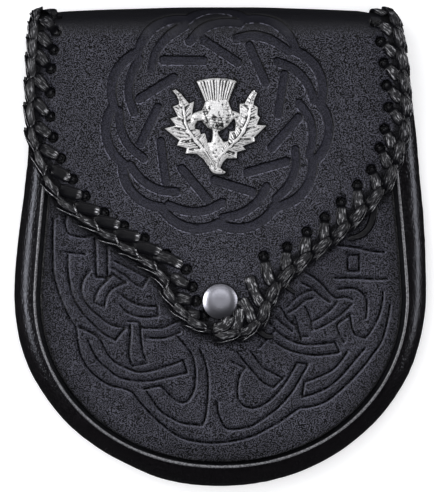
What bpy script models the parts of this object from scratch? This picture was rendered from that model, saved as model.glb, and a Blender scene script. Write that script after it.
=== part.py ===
"""A leather sporran pouch lying on its back, +Z up, its top towards +Y.

Every size is in millimetres and goes through add_piece, which turns it into metres. The origin lies under the
middle of the pouch, at the level of the surface that it rests on.
"""

from math import cos, pi, radians, sin

import bmesh
import bpy
import numpy as np
from mathutils import Matrix, Vector

MM = 0.001
GAP = 0.3  # between two pieces that touch

# Leather
BACK_WALL = 2.5
FRONT_WALL = 2.2
GUSSET_WALL = 1.8
FLAP_WALL = 2.4

# The pouch from the front: straight leaning sides above the waist, a rounded bowl below it
WAIST_Y = -20.6
BODY_HALF = 86.3
BODY_DROP = 79.9
BODY_TOP_HALF = 78.0
SEAM_HALF = 77.1  # edge of the front panel
SEAM_DROP = 70.4
SEAM_TOP_HALF = 66.5
MOUTH_Y = 80.0
SIDE_BOW = 1.25  # 1 is a straight side
BOWL_POWER = 2.08  # 2 is an ellipse

# The pouch from the side
SEAM_Z_TOP = 24.0  # front seam above the table, at the fold
SEAM_Z_BOTTOM = 34.0
DOME = 3.5
FLANGE = 4.0  # width of the gusset sewn under a panel
FLANGE_DROP = 0.1  # room for the front panel's facets

# Back panel
BACK_MARGIN = 3.0  # its edge outside the front seam
BACK_TOP_Y = 86.0
BACK_CORNER = 8.0
SLOT_X = 34.0
SLOT_Y = 52.0
SLOT_WIDE = 6.4
SLOT_TALL = 40.0

# Piping
CORD_RADIUS = 1.15
CORD_SINK = 1.0  # its middle under the face of the front panel

# Flap: it lies over the front panel, folds over the top and is sewn in behind
FLAP_LIFT = 2.9
FOLD_Y = 88.0
FOLD_REACH = 9.5
FOLD_BOW = 2.6  # the crest dips this much at the corners
FOLD_LENGTH = 36.0  # along the fold, front to rear
TAIL_LENGTH = 13.0
TAIL_HALF = 59.0

# Edge of the flap laid flat, a row for each bend. Below the fold, y is the height seen from the front.
FLAP_EDGE = (
    # bend, steps to the next one, left x, left y, right x, right y
    ("fold_rear", 6, -75.5, FOLD_Y + FOLD_LENGTH, 71.5, FOLD_Y + FOLD_LENGTH),
    ("fold_crest", 6, -76.6, FOLD_Y + FOLD_LENGTH / 2, 72.8, FOLD_Y + FOLD_LENGTH / 2),
    ("fold_front", 2, -78.0, FOLD_Y, 75.0, FOLD_Y),
    ("side", 2, -79.2, 64.0, 77.4, 66.0),
    ("shoulder", 2, -78.7, 48.0, 78.0, 51.5),
    ("corner", 2, -75.6, 37.0, 74.8, 39.4),
    ("hip", 2, -71.6, 27.0, 70.6, 27.6),
    ("slant_top", 2, -65.0, 17.8, 63.8, 19.4),
    ("slant", 2, -50.4, 6.6, 50.6, 6.3),
    ("slant_low", 2, -32.6, -5.6, 33.0, -7.4),
    ("throat", 2, -24.6, -12.6, 25.4, -14.8),
    ("tongue", 2, -20.7, -21.2, 20.4, -22.8),
    ("cheek", 2, -15.6, -28.0, 17.4, -30.2),
    ("chin", 4, -8.6, -33.4, 11.2, -35.6),
    ("tip", 0, 1.4, -37.6, 1.4, -37.6),
)

# Lacing holes, a row for each stretch of the edge, from rear left round the tip to rear right
LACE_HOLES = (
    # stretch, steps to the next one, place along the edge, inset from the edge
    ("rear_left", 3, 6.0, 8.0),
    ("top_left", 2, 32.9, 9.3),
    ("left_side", 4, 48.7, 8.0),
    ("left_hip", 1, 90.6, 8.5),
    ("left_bend", 2, 102.8, 9.4),
    ("left_slant", 3, 125.3, 7.3),
    ("left_low", 1, 155.6, 8.1),
    ("left_throat", 1, 162.9, 10.8),
    ("tongue_left", 2, 170.6, 10.2),
    ("tongue_tip", 1, 186.9, 5.2),
    ("tip", 4, 201.1, 6.0),
    ("right_throat", 1, 237.2, 12.2),
    ("right_slant", 4, 245.7, 8.5),
    ("right_bend", 2, 286.2, 8.8),
    ("right_hip", 1, 308.7, 7.8),
    ("right_elbow", 1, 317.6, 8.2),
    ("right_side", 4, 329.0, 6.9),
    ("top_right", 2, 367.2, 7.8),
    ("rear_right", 0, 387.9, 8.0),
)
HOLE_RADIUS = 2.15
HOLE_TO_SNAP = 8.4  # no hole comes nearer to the snap's middle

# Lacing
THONG_HALF = 2.1
LACE_SHORT = 1.4  # a strap ends this far outside its hole's middle
LACE_REACH_BETWEEN = 3.4  # how far in from the edge the band reaches between two straps
LACE_LEAN = 7.0  # how far back along the edge a strap runs on its way out
LEAN_INSET = 8.0  # a strap's lean is nil this far in
STRAP_THICK = 1.2
BRAID_THICK = 1.8
BRAID_BACK = 1.6
BRAID_OUT = 2.6
LACE_CLEAR = 1.0  # to the leather's outer face, more than GAP because the band's facets span its fold
LACE_CLEAR_INSIDE = 0.6
LACE_CLEAR_EDGE = 0.8

# Badge, its middle seen from the front
BADGE_X = -1.9
BADGE_Y = 50.8
BADGE_GAP = 0.45  # flat back over the flap's slight dome
LEAF_EDGE = 1.5
POST_RADIUS = 1.1
POST_REACH = 4.2
POST_PLACES = ((0.6, 5.0), (0.4, -10.5))

# Each half leaf runs from the stem to its tip: rib, outer edge and inner edge, about the badge's middle
LEFT_LEAF = (
    # part, rib x, rib y, outer x, outer y, inner x, inner y
    ("root", 1.5, -17.4, 0.0, -19.2, 1.8, -16.4),
    ("heel", -2.9, -11.0, -6.4, -11.6, 0.6, -10.6),
    ("tooth_1", -5.2, -8.0, -12.0, -11.3, -2.4, -7.0),
    ("dip_1", -6.6, -6.4, -10.6, -7.6, -3.4, -6.0),
    ("tooth_2", -7.6, -5.0, -15.8, -8.1, -4.1, -2.9),
    ("dip_2", -9.0, -3.4, -15.0, -5.6, -5.9, -3.7),
    ("tooth_3", -10.0, -2.0, -20.8, -1.2, -6.7, -1.9),
    ("dip_3", -11.0, -0.2, -16.8, 0.0, -8.9, -0.9),
    ("tooth_4", -11.8, 1.6, -18.5, 2.8, -8.6, 2.0),
    ("dip_4", -12.4, 3.4, -15.7, 4.2, -9.9, 5.0),
    ("tooth_5", -13.2, 6.0, -17.5, 7.9, -9.0, 10.0),
    ("dip_5", -14.2, 9.4, -14.9, 9.9, -11.4, 9.2),
    ("neck", -15.0, 11.6, -15.9, 12.2, -13.4, 11.6),
    ("point", -17.0, 14.9, -17.3, 15.2, -16.6, 14.9),
)
RIGHT_LEAF = (
    ("root", 1.4, -17.4, 2.6, -18.2, 0.8, -17.0),
    ("heel", 3.2, -12.0, 5.4, -13.4, 1.2, -10.6),
    ("tooth_1", 4.8, -9.6, 8.9, -13.6, 2.8, -7.4),
    ("dip_1", 6.4, -8.0, 8.4, -10.8, 4.0, -6.8),
    ("tooth_2", 7.8, -6.6, 12.8, -9.5, 5.5, -6.6),
    ("dip_2", 9.0, -5.2, 12.0, -7.6, 6.2, -4.6),
    ("tooth_3", 10.2, -3.8, 16.6, -6.4, 6.8, -2.4),
    ("dip_3", 11.4, -2.0, 15.8, -4.4, 8.6, -1.2),
    ("tooth_4", 12.6, -0.2, 21.3, -0.1, 8.4, 1.0),
    ("dip_4", 13.4, 1.6, 16.6, 0.8, 8.2, 3.4),
    ("tooth_5", 14.2, 3.6, 18.5, 3.5, 8.8, 4.8),
    ("dip_5", 14.9, 5.8, 17.0, 5.4, 10.0, 5.4),
    ("tooth_6", 15.4, 7.8, 18.0, 7.7, 10.3, 9.1),
    ("neck", 15.9, 9.8, 16.8, 9.4, 12.4, 9.2),
    ("point", 17.4, 14.6, 17.7, 14.7, 17.0, 14.9),
)
CROWN_TOP = 18.6
CROWN_BOTTOM = 10.2
CROWN_HALF_TOP = 8.5
CROWN_HALF_BOTTOM = 4.6
CROWN_ARCH = 1.3
CROWN_X = 0.8
FLUTES = 9
GLOBE_X = 0.9
GLOBE_Y = 4.2
GLOBE_HALF = 7.0
GLOBE_TALL = 6.6
GLOBE_HIGH = 3.6

# Snap fastener, its cap seen from the front
SNAP_X = 0.3
SNAP_Y = -23.3
CAP_RADIUS = 7.4
CAP_EDGE = 0.8
CAP_HIGH = 2.4
SNAP_POST = 1.8
SOCKET_RADIUS = 5.2
SOCKET_THICK = 2.2
SOCKET_BORE = 3.2
SOCKET_DEPTH = 1.5
STUD_RADIUS = 2.9
RIVET_RADIUS = 5.0
RIVET_THICK = 0.8
SNAP_SIDES = 24

# material, colour, roughness, metallic
MATERIALS = {
    "black_leather": ((0.012, 0.012, 0.014), 0.42, 0.0),
    "gusset_leather": ((0.010, 0.010, 0.011), 0.36, 0.0),
    "piping_leather": ((0.014, 0.014, 0.016), 0.30, 0.0),
    "lacing_leather": ((0.009, 0.009, 0.010), 0.26, 0.0),
    "cast_silver": ((0.78, 0.77, 0.74), 0.28, 1.0),
    "snap_metal": ((0.42, 0.43, 0.45), 0.32, 1.0),
}


# --- mesh helpers ---------------------------------------------------------------------------------------------


def material(name):
    """The named material as a Principled BSDF."""
    found = bpy.data.materials.get(name)
    if found:
        return found
    colour, roughness, metallic = MATERIALS[name]
    made = bpy.data.materials.new(name)
    made.use_nodes = True
    shader = made.node_tree.nodes["Principled BSDF"]
    shader.inputs["Base Color"].default_value = (*colour, 1.0)
    shader.inputs["Roughness"].default_value = roughness
    shader.inputs["Metallic"].default_value = metallic
    return made


def add_piece(name, points, faces, finish, sharp=40.0):
    """One closed body from points in millimetres, with doubled points merged and its faces turned out."""
    mesh = bpy.data.meshes.new(name)
    mesh.from_pydata([tuple(p) for p in np.asarray(points, float) * MM], [], faces)
    work = bmesh.new()
    work.from_mesh(mesh)
    bmesh.ops.remove_doubles(work, verts=work.verts, dist=1e-6)
    bmesh.ops.dissolve_degenerate(work, edges=work.edges, dist=1e-6)
    bmesh.ops.recalc_face_normals(work, faces=work.faces)
    work.to_mesh(mesh)
    work.free()
    mesh.shade_smooth()
    mesh.set_sharp_from_angle(angle=radians(sharp))
    piece = bpy.data.objects.new(name, mesh)
    bpy.context.scene.collection.objects.link(piece)
    if finish:
        mesh.materials.append(material(finish))
    return piece


def boolean(piece, other, operation):
    """Cut or join another object, which is then only a guide."""
    modifier = piece.modifiers.new(other.name, "BOOLEAN")
    modifier.operation = operation
    modifier.object = other
    other.hide_render = True
    other.display_type = "WIRE"


def strip(first, second, closed):
    """Quads between two rows of point numbers of the same length."""
    count = len(first)
    last = count if closed else count - 1
    return [(first[i], first[(i + 1) % count], second[(i + 1) % count], second[i]) for i in range(last)]


def slab(outer, inner):
    """Points and faces of a sheet between two grids of points, with a rim round its four sides."""
    rows, columns = outer.shape[:2]
    points = np.concatenate([outer.reshape(-1, 3), inner.reshape(-1, 3)])
    front = np.arange(rows * columns).reshape(rows, columns)
    back = front + rows * columns
    faces = []
    for i in range(rows - 1):
        faces += strip(list(front[i]), list(front[i + 1]), False)
        faces += strip(list(back[i + 1]), list(back[i]), False)
    for side in (lambda grid: grid[0], lambda grid: grid[-1], lambda grid: grid[:, 0], lambda grid: grid[:, -1]):
        faces += strip(list(side(front)), list(side(back)), False)
    return points, [tuple(int(n) for n in face) for face in faces]


def loft(sections):
    """Points and faces of a body through closed sections of the same number of points, with flat ends."""
    count, around = sections.shape[:2]
    points = sections.reshape(-1, 3)
    rows = [[i * around + j for j in range(around)] for i in range(count)]
    faces = [tuple(rows[0]), tuple(reversed(rows[-1]))]
    for i in range(count - 1):
        faces += strip(rows[i + 1], rows[i], True)
    return points, faces


def turned(profile, sides):
    """Points and faces of a body turned round Z, from a profile that starts and ends on the axis."""
    angles = np.arange(sides) * 2 * pi / sides
    points, rows = [], []
    for radius, height in profile:
        around = 1 if radius == 0 else sides
        rows.append([len(points) + i % around for i in range(sides)])
        points += [(radius * cos(a), radius * sin(a), height) for a in angles[:around]]
    faces = []
    for upper, lower in zip(rows, rows[1:]):
        for i in range(sides):
            corners = (upper[i], lower[i], lower[(i + 1) % sides], upper[(i + 1) % sides])
            faces.append(tuple(dict.fromkeys(corners)))
    return points, faces


def smooth_line(points, steps):
    """Points on a smooth curve through the given ones, with a number of steps from each to the next."""
    points = np.asarray(points, float)
    padded = np.vstack([2 * points[0] - points[1], points, 2 * points[-1] - points[-2]])
    line = []
    for i in range(1, len(points)):
        p0, p1, p2, p3 = padded[i - 1 : i + 3]
        for k in range(steps[i - 1]):
            t = k / steps[i - 1]
            line.append(
                p1 + 0.5 * t * (p2 - p0 + t * (2 * p0 - 5 * p1 + 4 * p2 - p3 + t * (3 * (p1 - p2) + p3 - p0)))
            )
    line.append(points[-1])
    return np.array(line)


def ladder(left, right, columns):
    """A grid of points with a straight row from each left point to its right point."""
    share = np.linspace(0, 1, columns)[None, :, None]
    return left[:, None, :] * (1 - share) + right[:, None, :] * share


# --- the pouch's form -----------------------------------------------------------------------------------------


def side_half(y, half, top_half):
    """Half width of an outline at a height above the waist."""
    lean = np.clip((y - WAIST_Y) / (BACK_TOP_Y - WAIST_Y), 0, None)
    return half - (half - top_half) * lean**SIDE_BOW


def half_outline(half, drop, top_half, top_y, sides, bowl):
    """The right half of an outline, from its top down to the middle of its bottom."""
    y = np.linspace(top_y, WAIST_Y, sides + 1)
    upper = np.column_stack([side_half(y, half, top_half), y])
    angle = np.linspace(0, pi / 2, bowl + 1)[1:]
    power = 2 / BOWL_POWER
    cosine = np.clip(np.cos(angle), 0, None)
    cosine[-1] = 0
    lower = np.column_stack([half * cosine**power, WAIST_Y - drop * np.sin(angle) ** power])
    return np.vstack([upper, lower])


def whole_outline(right):
    """Left top, round the bottom, to the right top."""
    left = right * (-1, 1)
    return np.vstack([left, right[::-1][1:]])


def seam_z(y):
    """Height of the front seam: level at the fold, then deeper towards the bottom."""
    down = np.clip((FOLD_Y - y) / (FOLD_Y - WAIST_Y + SEAM_DROP), 0, None)
    return SEAM_Z_TOP + (SEAM_Z_BOTTOM - SEAM_Z_TOP) * down**2


def front_z(x, y):
    """Outer face of the front panel: the seam's height with a low dome on it."""
    half = side_half(y, SEAM_HALF, SEAM_TOP_HALF)
    below = np.clip(y - WAIST_Y, None, 0)
    out = (x / half) ** 2 + (below / SEAM_DROP) ** 2
    return seam_z(y) + DOME * (1 - out)


def front_frame(x, y):
    """Turns +Z to stand square on the front panel's outer face at a place."""
    step = 1.0
    slope_x = (front_z(x + step, y) - front_z(x - step, y)) / (2 * step)
    slope_y = (front_z(x, y + step) - front_z(x, y - step)) / (2 * step)
    up = Vector((-slope_x, -slope_y, 1)).normalized()
    turn = Vector((0, 0, 1)).rotation_difference(up).to_matrix().to_4x4()
    return turn, up


def flap_surface(x, y):
    """Inner face of the flap and its outward direction, for places on the flap laid flat.

    In front of the fold y is the height seen from the front; past it the sheet goes round half an ellipse and
    then flat into the pouch, against the back panel.
    """
    x, y = np.broadcast_arrays(np.asarray(x, float), np.asarray(y, float))
    rear_z = BACK_WALL + GAP + FLAP_WALL
    front = np.minimum(y, FOLD_Y)
    front_level = front_z(x, front) + FLAP_LIFT
    turn = np.clip((y - FOLD_Y) / FOLD_LENGTH, 0, 1) * pi
    reach = FOLD_REACH - FOLD_BOW * (x / BODY_TOP_HALF) ** 2
    half_z = (front_level - rear_z) / 2
    tail = np.clip(y - FOLD_Y - FOLD_LENGTH, 0, None)
    point_y = front + reach * np.sin(turn) - tail
    point_z = np.where(y < FOLD_Y, front_level, rear_z + half_z * (1 + np.cos(turn)))
    point = np.stack([x, point_y, point_z], -1)
    step = 0.5
    slope_x = (front_z(x + step, front) - front_z(x - step, front)) / (2 * step)
    slope_y = (front_z(x, front + step) - front_z(x, front - step)) / (2 * step)
    reach_slope = -2 * FOLD_BOW * x / BODY_TOP_HALF**2
    swing = reach_slope * half_z * np.sin(turn) ** 2 + slope_x / 2 * reach * (1 + np.cos(turn)) * np.cos(turn)
    round_fold = np.stack([-swing, half_z * np.sin(turn), reach * np.cos(turn)], -1)
    in_front = np.stack([-slope_x, -slope_y, np.ones_like(x)], -1)
    normal = np.where((y <= FOLD_Y)[..., None], in_front, round_fold)
    return point, normal / np.linalg.norm(normal, axis=-1, keepdims=True)


# --- pieces ---------------------------------------------------------------------------------------------------


def rounded_plate(half_x, half_y, corner, steps=5):
    """Outline of a plate about its middle, with round corners."""
    outline = []
    for quarter in range(4):
        x_side, y_side = ((1, 1), (-1, 1), (-1, -1), (1, -1))[quarter]
        for k in range(steps + 1):
            angle = (quarter + k / steps) * pi / 2
            x = x_side * (half_x - corner) + corner * cos(angle)
            y = y_side * (half_y - corner) + corner * sin(angle)
            outline.append((x, y))
    return outline


def prism(outline, low, high):
    """Sections of a straight prism on an outline."""
    flat = np.asarray(outline, float)
    return np.stack([np.column_stack([flat, np.full(len(flat), z)]) for z in (low, high)])


def make_back_panel():
    """A flat U with two slots for the belt."""
    right = half_outline(
        SEAM_HALF + BACK_MARGIN, SEAM_DROP + BACK_MARGIN, SEAM_TOP_HALF + BACK_MARGIN, BACK_TOP_Y - BACK_CORNER, 4, 24
    )
    angle = np.linspace(0, pi / 2, 7)[1:]
    corner = right[0] - (BACK_CORNER, 0) + BACK_CORNER * np.column_stack([np.cos(angle), np.sin(angle)])
    outline = whole_outline(np.vstack([corner[::-1], right]))
    panel = add_piece("back_panel", *loft(prism(outline, 0, BACK_WALL)), "black_leather")
    for side, x in (("left", -SLOT_X), ("right", SLOT_X)):
        slot = np.array(rounded_plate(SLOT_WIDE / 2, SLOT_TALL / 2, SLOT_WIDE / 2 - 0.05)) + (x, SLOT_Y)
        cutter = add_piece(f"slot_cutter_{side}", *loft(prism(slot, -1, BACK_WALL + 1)), None)
        boolean(panel, cutter, "DIFFERENCE")


def make_front_panel():
    """The domed front, with a hole for the snap's stud."""
    right = half_outline(SEAM_HALF, SEAM_DROP, SEAM_TOP_HALF, MOUTH_Y, 7, 11)
    grid = ladder(right * (-1, 1), right, 11)
    x, y = grid[..., 0], grid[..., 1]
    outer = np.stack([x, y, front_z(x, y)], -1)
    panel = add_piece("front_panel", *slab(outer, outer - (0, 0, FRONT_WALL)), "black_leather")
    boolean(panel, snap_cutter("stud_cutter", -FRONT_WALL / 2), "DIFFERENCE")


def snap_cutter(name, above):
    """A short drill for the snap's post, square to the front, its middle above the front panel's face."""
    turn, up = front_frame(SNAP_X, SNAP_Y)
    drill = [(0, 2.5), (SNAP_POST + GAP, 2.5), (SNAP_POST + GAP, -2.5), (0, -2.5)]
    cutter = add_piece(name, *turned(drill, 16), None)
    middle = Vector((SNAP_X, SNAP_Y, front_z(SNAP_X, SNAP_Y))) + above * up
    cutter.matrix_world = Matrix.Translation(middle * MM) @ turn
    return cutter


def make_gusset():
    """A C-shaped strip: a flange under the front panel, a roll out to the pouch's outline, a flange at the back."""
    steps = (MOUTH_Y, 7, 13)
    seam = whole_outline(half_outline(SEAM_HALF, SEAM_DROP, SEAM_TOP_HALF, *steps))
    body = whole_outline(half_outline(BODY_HALF, BODY_DROP, BODY_TOP_HALF, *steps))
    out = body - seam
    bulge = np.linalg.norm(out, axis=1)
    out /= bulge[:, None]
    top = seam_z(seam[:, 1]) - FRONT_WALL - GAP - FLANGE_DROP
    bottom = BACK_WALL + GAP
    middle, half = (top + bottom) / 2, (top - bottom) / 2
    angles = np.linspace(0, pi, 9)
    sections = []
    for side, wall in ((1, 0.0), (-1, GUSSET_WALL)):
        line = [(-FLANGE + 0 * bulge, half - wall)]
        line += [((bulge - wall) * sin(a), (half - wall) * cos(a)) for a in angles]
        line += [(-FLANGE + 0 * bulge, wall - half)]
        sections += line[::side]
    across = np.stack([s[0] for s in sections], 1)
    height = np.stack([s[1] for s in sections], 1)
    points = np.empty((*across.shape, 3))
    points[..., :2] = seam[:, None, :] + across[..., None] * out[:, None, :]
    points[..., 2] = middle[:, None] + height
    add_piece("gusset", *loft(points), "gusset_leather")


def make_piping():
    """A cord that follows the front seam."""
    outside = CORD_RADIUS + GAP
    line = whole_outline(
        half_outline(SEAM_HALF + outside, SEAM_DROP + outside, SEAM_TOP_HALF + outside, MOUTH_Y, 8, 16)
    )
    along = np.gradient(line, axis=0)
    along /= np.linalg.norm(along, axis=1, keepdims=True)
    out = np.column_stack([along[:, 1], -along[:, 0]])
    angle = np.arange(6) * pi / 3 + pi / 6
    points = np.empty((len(line), len(angle), 3))
    points[..., :2] = line[:, None, :] + CORD_RADIUS * np.cos(angle)[None, :, None] * out[:, None, :]
    points[..., 2] = (seam_z(line[:, 1]) - CORD_SINK)[:, None] + CORD_RADIUS * np.sin(angle)
    add_piece("piping", *loft(points), "piping_leather", sharp=60)


def flap_sides():
    """The left and right edges of the flap laid flat, from the rear of the fold to the tip."""
    steps = [row[1] for row in FLAP_EDGE]
    left = smooth_line([row[2:4] for row in FLAP_EDGE], steps)
    right = smooth_line([row[4:6] for row in FLAP_EDGE], steps)
    return left, right


def lace_holes(edge):
    """The holes' places along the edge and their insets from it, even within each stretch of the table."""
    first = np.cumsum([0] + [row[1] for row in LACE_HOLES[:-1]])
    number = np.arange(first[-1] + 1)
    station, inset = (np.interp(number, first, [row[column] for row in LACE_HOLES]) for column in (2, 3))
    room = np.linalg.norm(edge.at(station, np.zeros_like(station)) - (SNAP_X, SNAP_Y), axis=-1)
    return station, np.minimum(inset, room - HOLE_TO_SNAP)


class LaceEdge:
    """The flap's edge from rear left, round the tip, to rear right, measured along its length."""

    def __init__(self):
        left, right = flap_sides()
        self.line = np.vstack([left, right[::-1][1:]])
        self.run = np.concatenate([[0], np.cumsum(np.linalg.norm(np.diff(self.line, axis=0), axis=1))])
        self.length = self.run[-1]
        along = np.gradient(self.line, self.run, axis=0)
        along = np.array([np.convolve(np.pad(a, 2, "edge"), np.ones(5) / 5, "valid") for a in along.T]).T
        along /= np.linalg.norm(along, axis=1, keepdims=True)
        self.inward = np.column_stack([-along[:, 1], along[:, 0]])

    def at(self, station, inset):
        """The place on the flap laid flat, an inset in from the edge."""
        both = [np.interp(station, self.run, column) for column in (*self.line.T, *self.inward.T)]
        return np.stack(both[:2], -1) + np.asarray(inset)[..., None] * np.stack(both[2:], -1)


def make_flap():
    """The sheet with its fold and tail, punched for the lacing, the snap and the badge's posts."""
    left, right = flap_sides()
    tail_y = FOLD_Y + FOLD_LENGTH + np.array([TAIL_LENGTH, 1.5])
    tail = np.column_stack([np.full(2, TAIL_HALF), tail_y])
    grid = ladder(np.vstack([tail * (-1, 1), left]), np.vstack([tail, right]), 9)
    inner, normal = flap_surface(grid[..., 0], grid[..., 1])
    flap = add_piece("flap", *slab(inner + FLAP_WALL * normal, inner), "black_leather")
    punch_points, punch_faces = [], []
    edge = LaceEdge()
    places = [(x, y, HOLE_RADIUS) for x, y in edge.at(*lace_holes(edge))]
    places += [(BADGE_X + x, BADGE_Y + y, POST_RADIUS + GAP) for x, y in POST_PLACES]
    for x, y, radius in places:
        centre, up = flap_surface(x, y)
        side = np.cross((0, 1, 0), up)
        side /= np.linalg.norm(side)
        other = np.cross(up, side)
        angle = (np.arange(8) + 0.5) * pi / 4
        ring = radius * (np.cos(angle)[:, None] * side + np.sin(angle)[:, None] * other)
        points, faces = loft(np.stack([centre + ring - up, centre + ring + (FLAP_WALL + 1) * up]))
        punch_faces += [tuple(n + len(punch_points) for n in face) for face in faces]
        punch_points += list(points)
    boolean(flap, add_piece("flap_punches", punch_points, punch_faces, None), "DIFFERENCE")
    boolean(flap, snap_cutter("cap_cutter", FLAP_LIFT + FLAP_WALL / 2), "DIFFERENCE")


def make_edge_lacing():
    """A braided band that wraps the flap's edge, with a strap reaching in to each hole, front and back."""
    edge = LaceEdge()
    stations, insets = lace_holes(edge)
    skin = FLAP_WALL / 2 + LACE_CLEAR
    lining = -FLAP_WALL / 2 - LACE_CLEAR_INSIDE
    rows = []
    for station, following, inset in zip(stations[1:], [*stations[2:], edge.length], insets[1:]):
        strap = inset - LACE_SHORT
        rows += [(station - THONG_HALF, strap), (station + THONG_HALF, strap)]
        rows.append(((station + following) / 2, LACE_REACH_BETWEEN))
    sections = []
    for station, reach in rows[:-1]:
        shape = np.array(
            (
                # inset from the edge, height over the middle of the leather
                (reach, skin),
                (reach, skin + STRAP_THICK),
                (LACE_REACH_BETWEEN / 2, skin + BRAID_THICK),
                (-0.6, skin + BRAID_THICK - 0.3),
                (-BRAID_OUT + 0.3, skin - 0.3),
                (-BRAID_OUT, lining / 2),
                (-0.9, lining - BRAID_BACK + 0.3),
                (reach, lining - STRAP_THICK),
                (reach, lining),
                (-LACE_CLEAR_EDGE, lining),
                (-LACE_CLEAR_EDGE, skin),
            )
        )
        lean = LACE_LEAN * (1 - shape[:, 0] / LEAN_INSET)
        flat = edge.at(np.clip(station - lean, 0, edge.length), shape[:, 0])
        inner, normal = flap_surface(flat[:, 0], flat[:, 1])
        sections.append(inner + (FLAP_WALL / 2 + shape[:, 1])[:, None] * normal)
    add_piece("edge_lacing", *loft(np.array(sections)), "lacing_leather", sharp=50)


def leaf_body(rows):
    """A leaf with a raised rib along its middle, on a flat back."""
    table = np.array([row[1:] for row in rows])
    rib, outer, inner = table[:, 0:2], table[:, 2:4], table[:, 4:6]
    rise = np.interp(np.arange(len(rows)), (0, 3, len(rows) - 1), (3.0, 2.9, 1.9))
    low, edge = np.zeros(len(rows)), np.full(len(rows), LEAF_EDGE)
    ring = ((outer, low), (outer, edge), (rib, rise), (inner, edge), (inner, low), (rib, low))
    return np.stack([np.column_stack([flat, height]) for flat, height in ring], 1)


def make_badge():
    """A cast thistle: fluted crown, round head and two leaves, fused, with two posts through the flap."""
    _, up = front_frame(BADGE_X, BADGE_Y)
    turn = Vector((0, 0, 1)).rotation_difference(up).to_matrix().to_4x4()
    face = front_z(BADGE_X, BADGE_Y) + FLAP_LIFT
    base = Vector((BADGE_X, BADGE_Y, face)) + (FLAP_WALL + BADGE_GAP) * up
    place = Matrix.Translation(base * MM) @ turn

    fluted = []
    for k in range(2 * FLUTES + 1):
        share = k / FLUTES - 1
        rise = (2.5 if k % 2 else 3.1) - 0.9 * share**2
        top = (CROWN_X + CROWN_HALF_TOP * share, CROWN_TOP + CROWN_ARCH * (1 - share**2))
        bottom = (CROWN_X + CROWN_HALF_BOTTOM * share, CROWN_BOTTOM)
        fluted.append([(*bottom, 0.0), (*bottom, rise * 0.9), (*top, rise), (*top, 0.0)])
    badge = add_piece("thistle_badge", *loft(np.array(fluted)[:, ::-1]), "cast_silver", sharp=25)

    angle = np.linspace(0, pi / 2, 5)
    globe = [(0, GLOBE_HIGH)] + [(GLOBE_HALF * sin(a), GLOBE_HIGH * cos(a)) for a in angle[1:-1]]
    globe += [(GLOBE_HALF, 0.6), (GLOBE_HALF, 0), (0, 0)]
    points, faces = turned(globe, 16)
    points = np.array(points) * (1, GLOBE_TALL / GLOBE_HALF, 1) + (GLOBE_X, GLOBE_Y, 0)
    parts = [("globe", points, faces)]
    parts.append(("left_leaf", *loft(leaf_body(LEFT_LEAF))))
    parts.append(("right_leaf", *loft(leaf_body(RIGHT_LEAF))))

    bars = (
        # bar, start x, start y, end x, end y, half width at the start and at the end, height
        ("stem", 0.3, -1.2, 0.9, -9.5, 1.1, 2.6, 2.4),
        ("foot", 0.9, -8.5, 1.6, -17.6, 2.6, 0.9, 2.7),
        ("tail", 0.6, -16.6, 4.1, -19.8, 1.9, 0.5, 2.2),
        ("left_arm", -4.6, 4.6, -10.4, 4.2, 1.4, 1.0, 2.0),
        ("right_arm", 5.4, 5.2, 10.6, 4.2, 1.4, 1.0, 2.0),
    )
    for name, x0, y0, x1, y1, half0, half1, high in bars:
        start, end = np.array((x0, y0)), np.array((x1, y1))
        side = np.array((y0 - y1, x1 - x0)) / np.linalg.norm(end - start)
        ends = []
        for centre, half in ((start, half0), (end, half1)):
            flat = [centre + side * half, centre + side * half * 0.5, centre - side * half * 0.5, centre - side * half]
            ring = [(*flat[0], 0), (*flat[0], high * 0.5), (*flat[1], high), (*flat[2], high), (*flat[3], high * 0.5)]
            ends.append(ring + [(*flat[3], 0)])
        parts.append((name, *loft(np.array(ends))))
    for k, (x, y) in enumerate(POST_PLACES):
        post = [(0, 0.5), (POST_RADIUS, 0.5), (POST_RADIUS, -POST_REACH), (0, -POST_REACH)]
        points, faces = turned(post, 8)
        parts.append((f"post_{k + 1}", np.array(points) + (x, y, 0), faces))
    for name, points, faces in parts:
        part = add_piece(f"badge_{name}", points, faces, None)
        part.matrix_world = place
        boolean(badge, part, "UNION")
    badge.matrix_world = place


def make_snap():
    """The cap with its socket under the flap, and the stud through the front panel."""
    turn, up = front_frame(SNAP_X, SNAP_Y)
    panel_face = Vector((SNAP_X, SNAP_Y, front_z(SNAP_X, SNAP_Y)))
    flap_face = panel_face + (FLAP_LIFT + FLAP_WALL) * up

    under = -FLAP_WALL - GAP
    radii = np.linspace(0, CAP_RADIUS, 6)
    cap = [(r, CAP_EDGE + CAP_HIGH * (1 - (r / CAP_RADIUS) ** 2)) for r in radii]
    cap += [(CAP_RADIUS, GAP), (SNAP_POST, GAP), (SNAP_POST, under), (SOCKET_RADIUS, under)]
    cap += [(SOCKET_RADIUS, under - SOCKET_THICK), (SOCKET_BORE, under - SOCKET_THICK)]
    cap += [(SOCKET_BORE, under - SOCKET_THICK + SOCKET_DEPTH), (0, under - SOCKET_THICK + SOCKET_DEPTH)]
    piece = add_piece("snap_cap", *turned(cap, SNAP_SIDES), "snap_metal", sharp=35)
    piece.matrix_world = Matrix.Translation(flap_face * MM) @ turn

    socket_face = FLAP_LIFT + under + FLAP_WALL - SOCKET_THICK
    head = socket_face + SOCKET_DEPTH - GAP
    inside = -FRONT_WALL - GAP
    stud = [(0, head), (STUD_RADIUS - 0.5, head), (STUD_RADIUS, head - 0.4), (STUD_RADIUS, head - 0.9)]
    stud += [(SNAP_POST, GAP), (SNAP_POST, inside), (RIVET_RADIUS, inside), (RIVET_RADIUS, inside - RIVET_THICK)]
    stud += [(0, inside - RIVET_THICK)]
    piece = add_piece("snap_stud", *turned(stud, SNAP_SIDES), "snap_metal", sharp=35)
    piece.matrix_world = Matrix.Translation(panel_face * MM) @ turn


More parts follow.
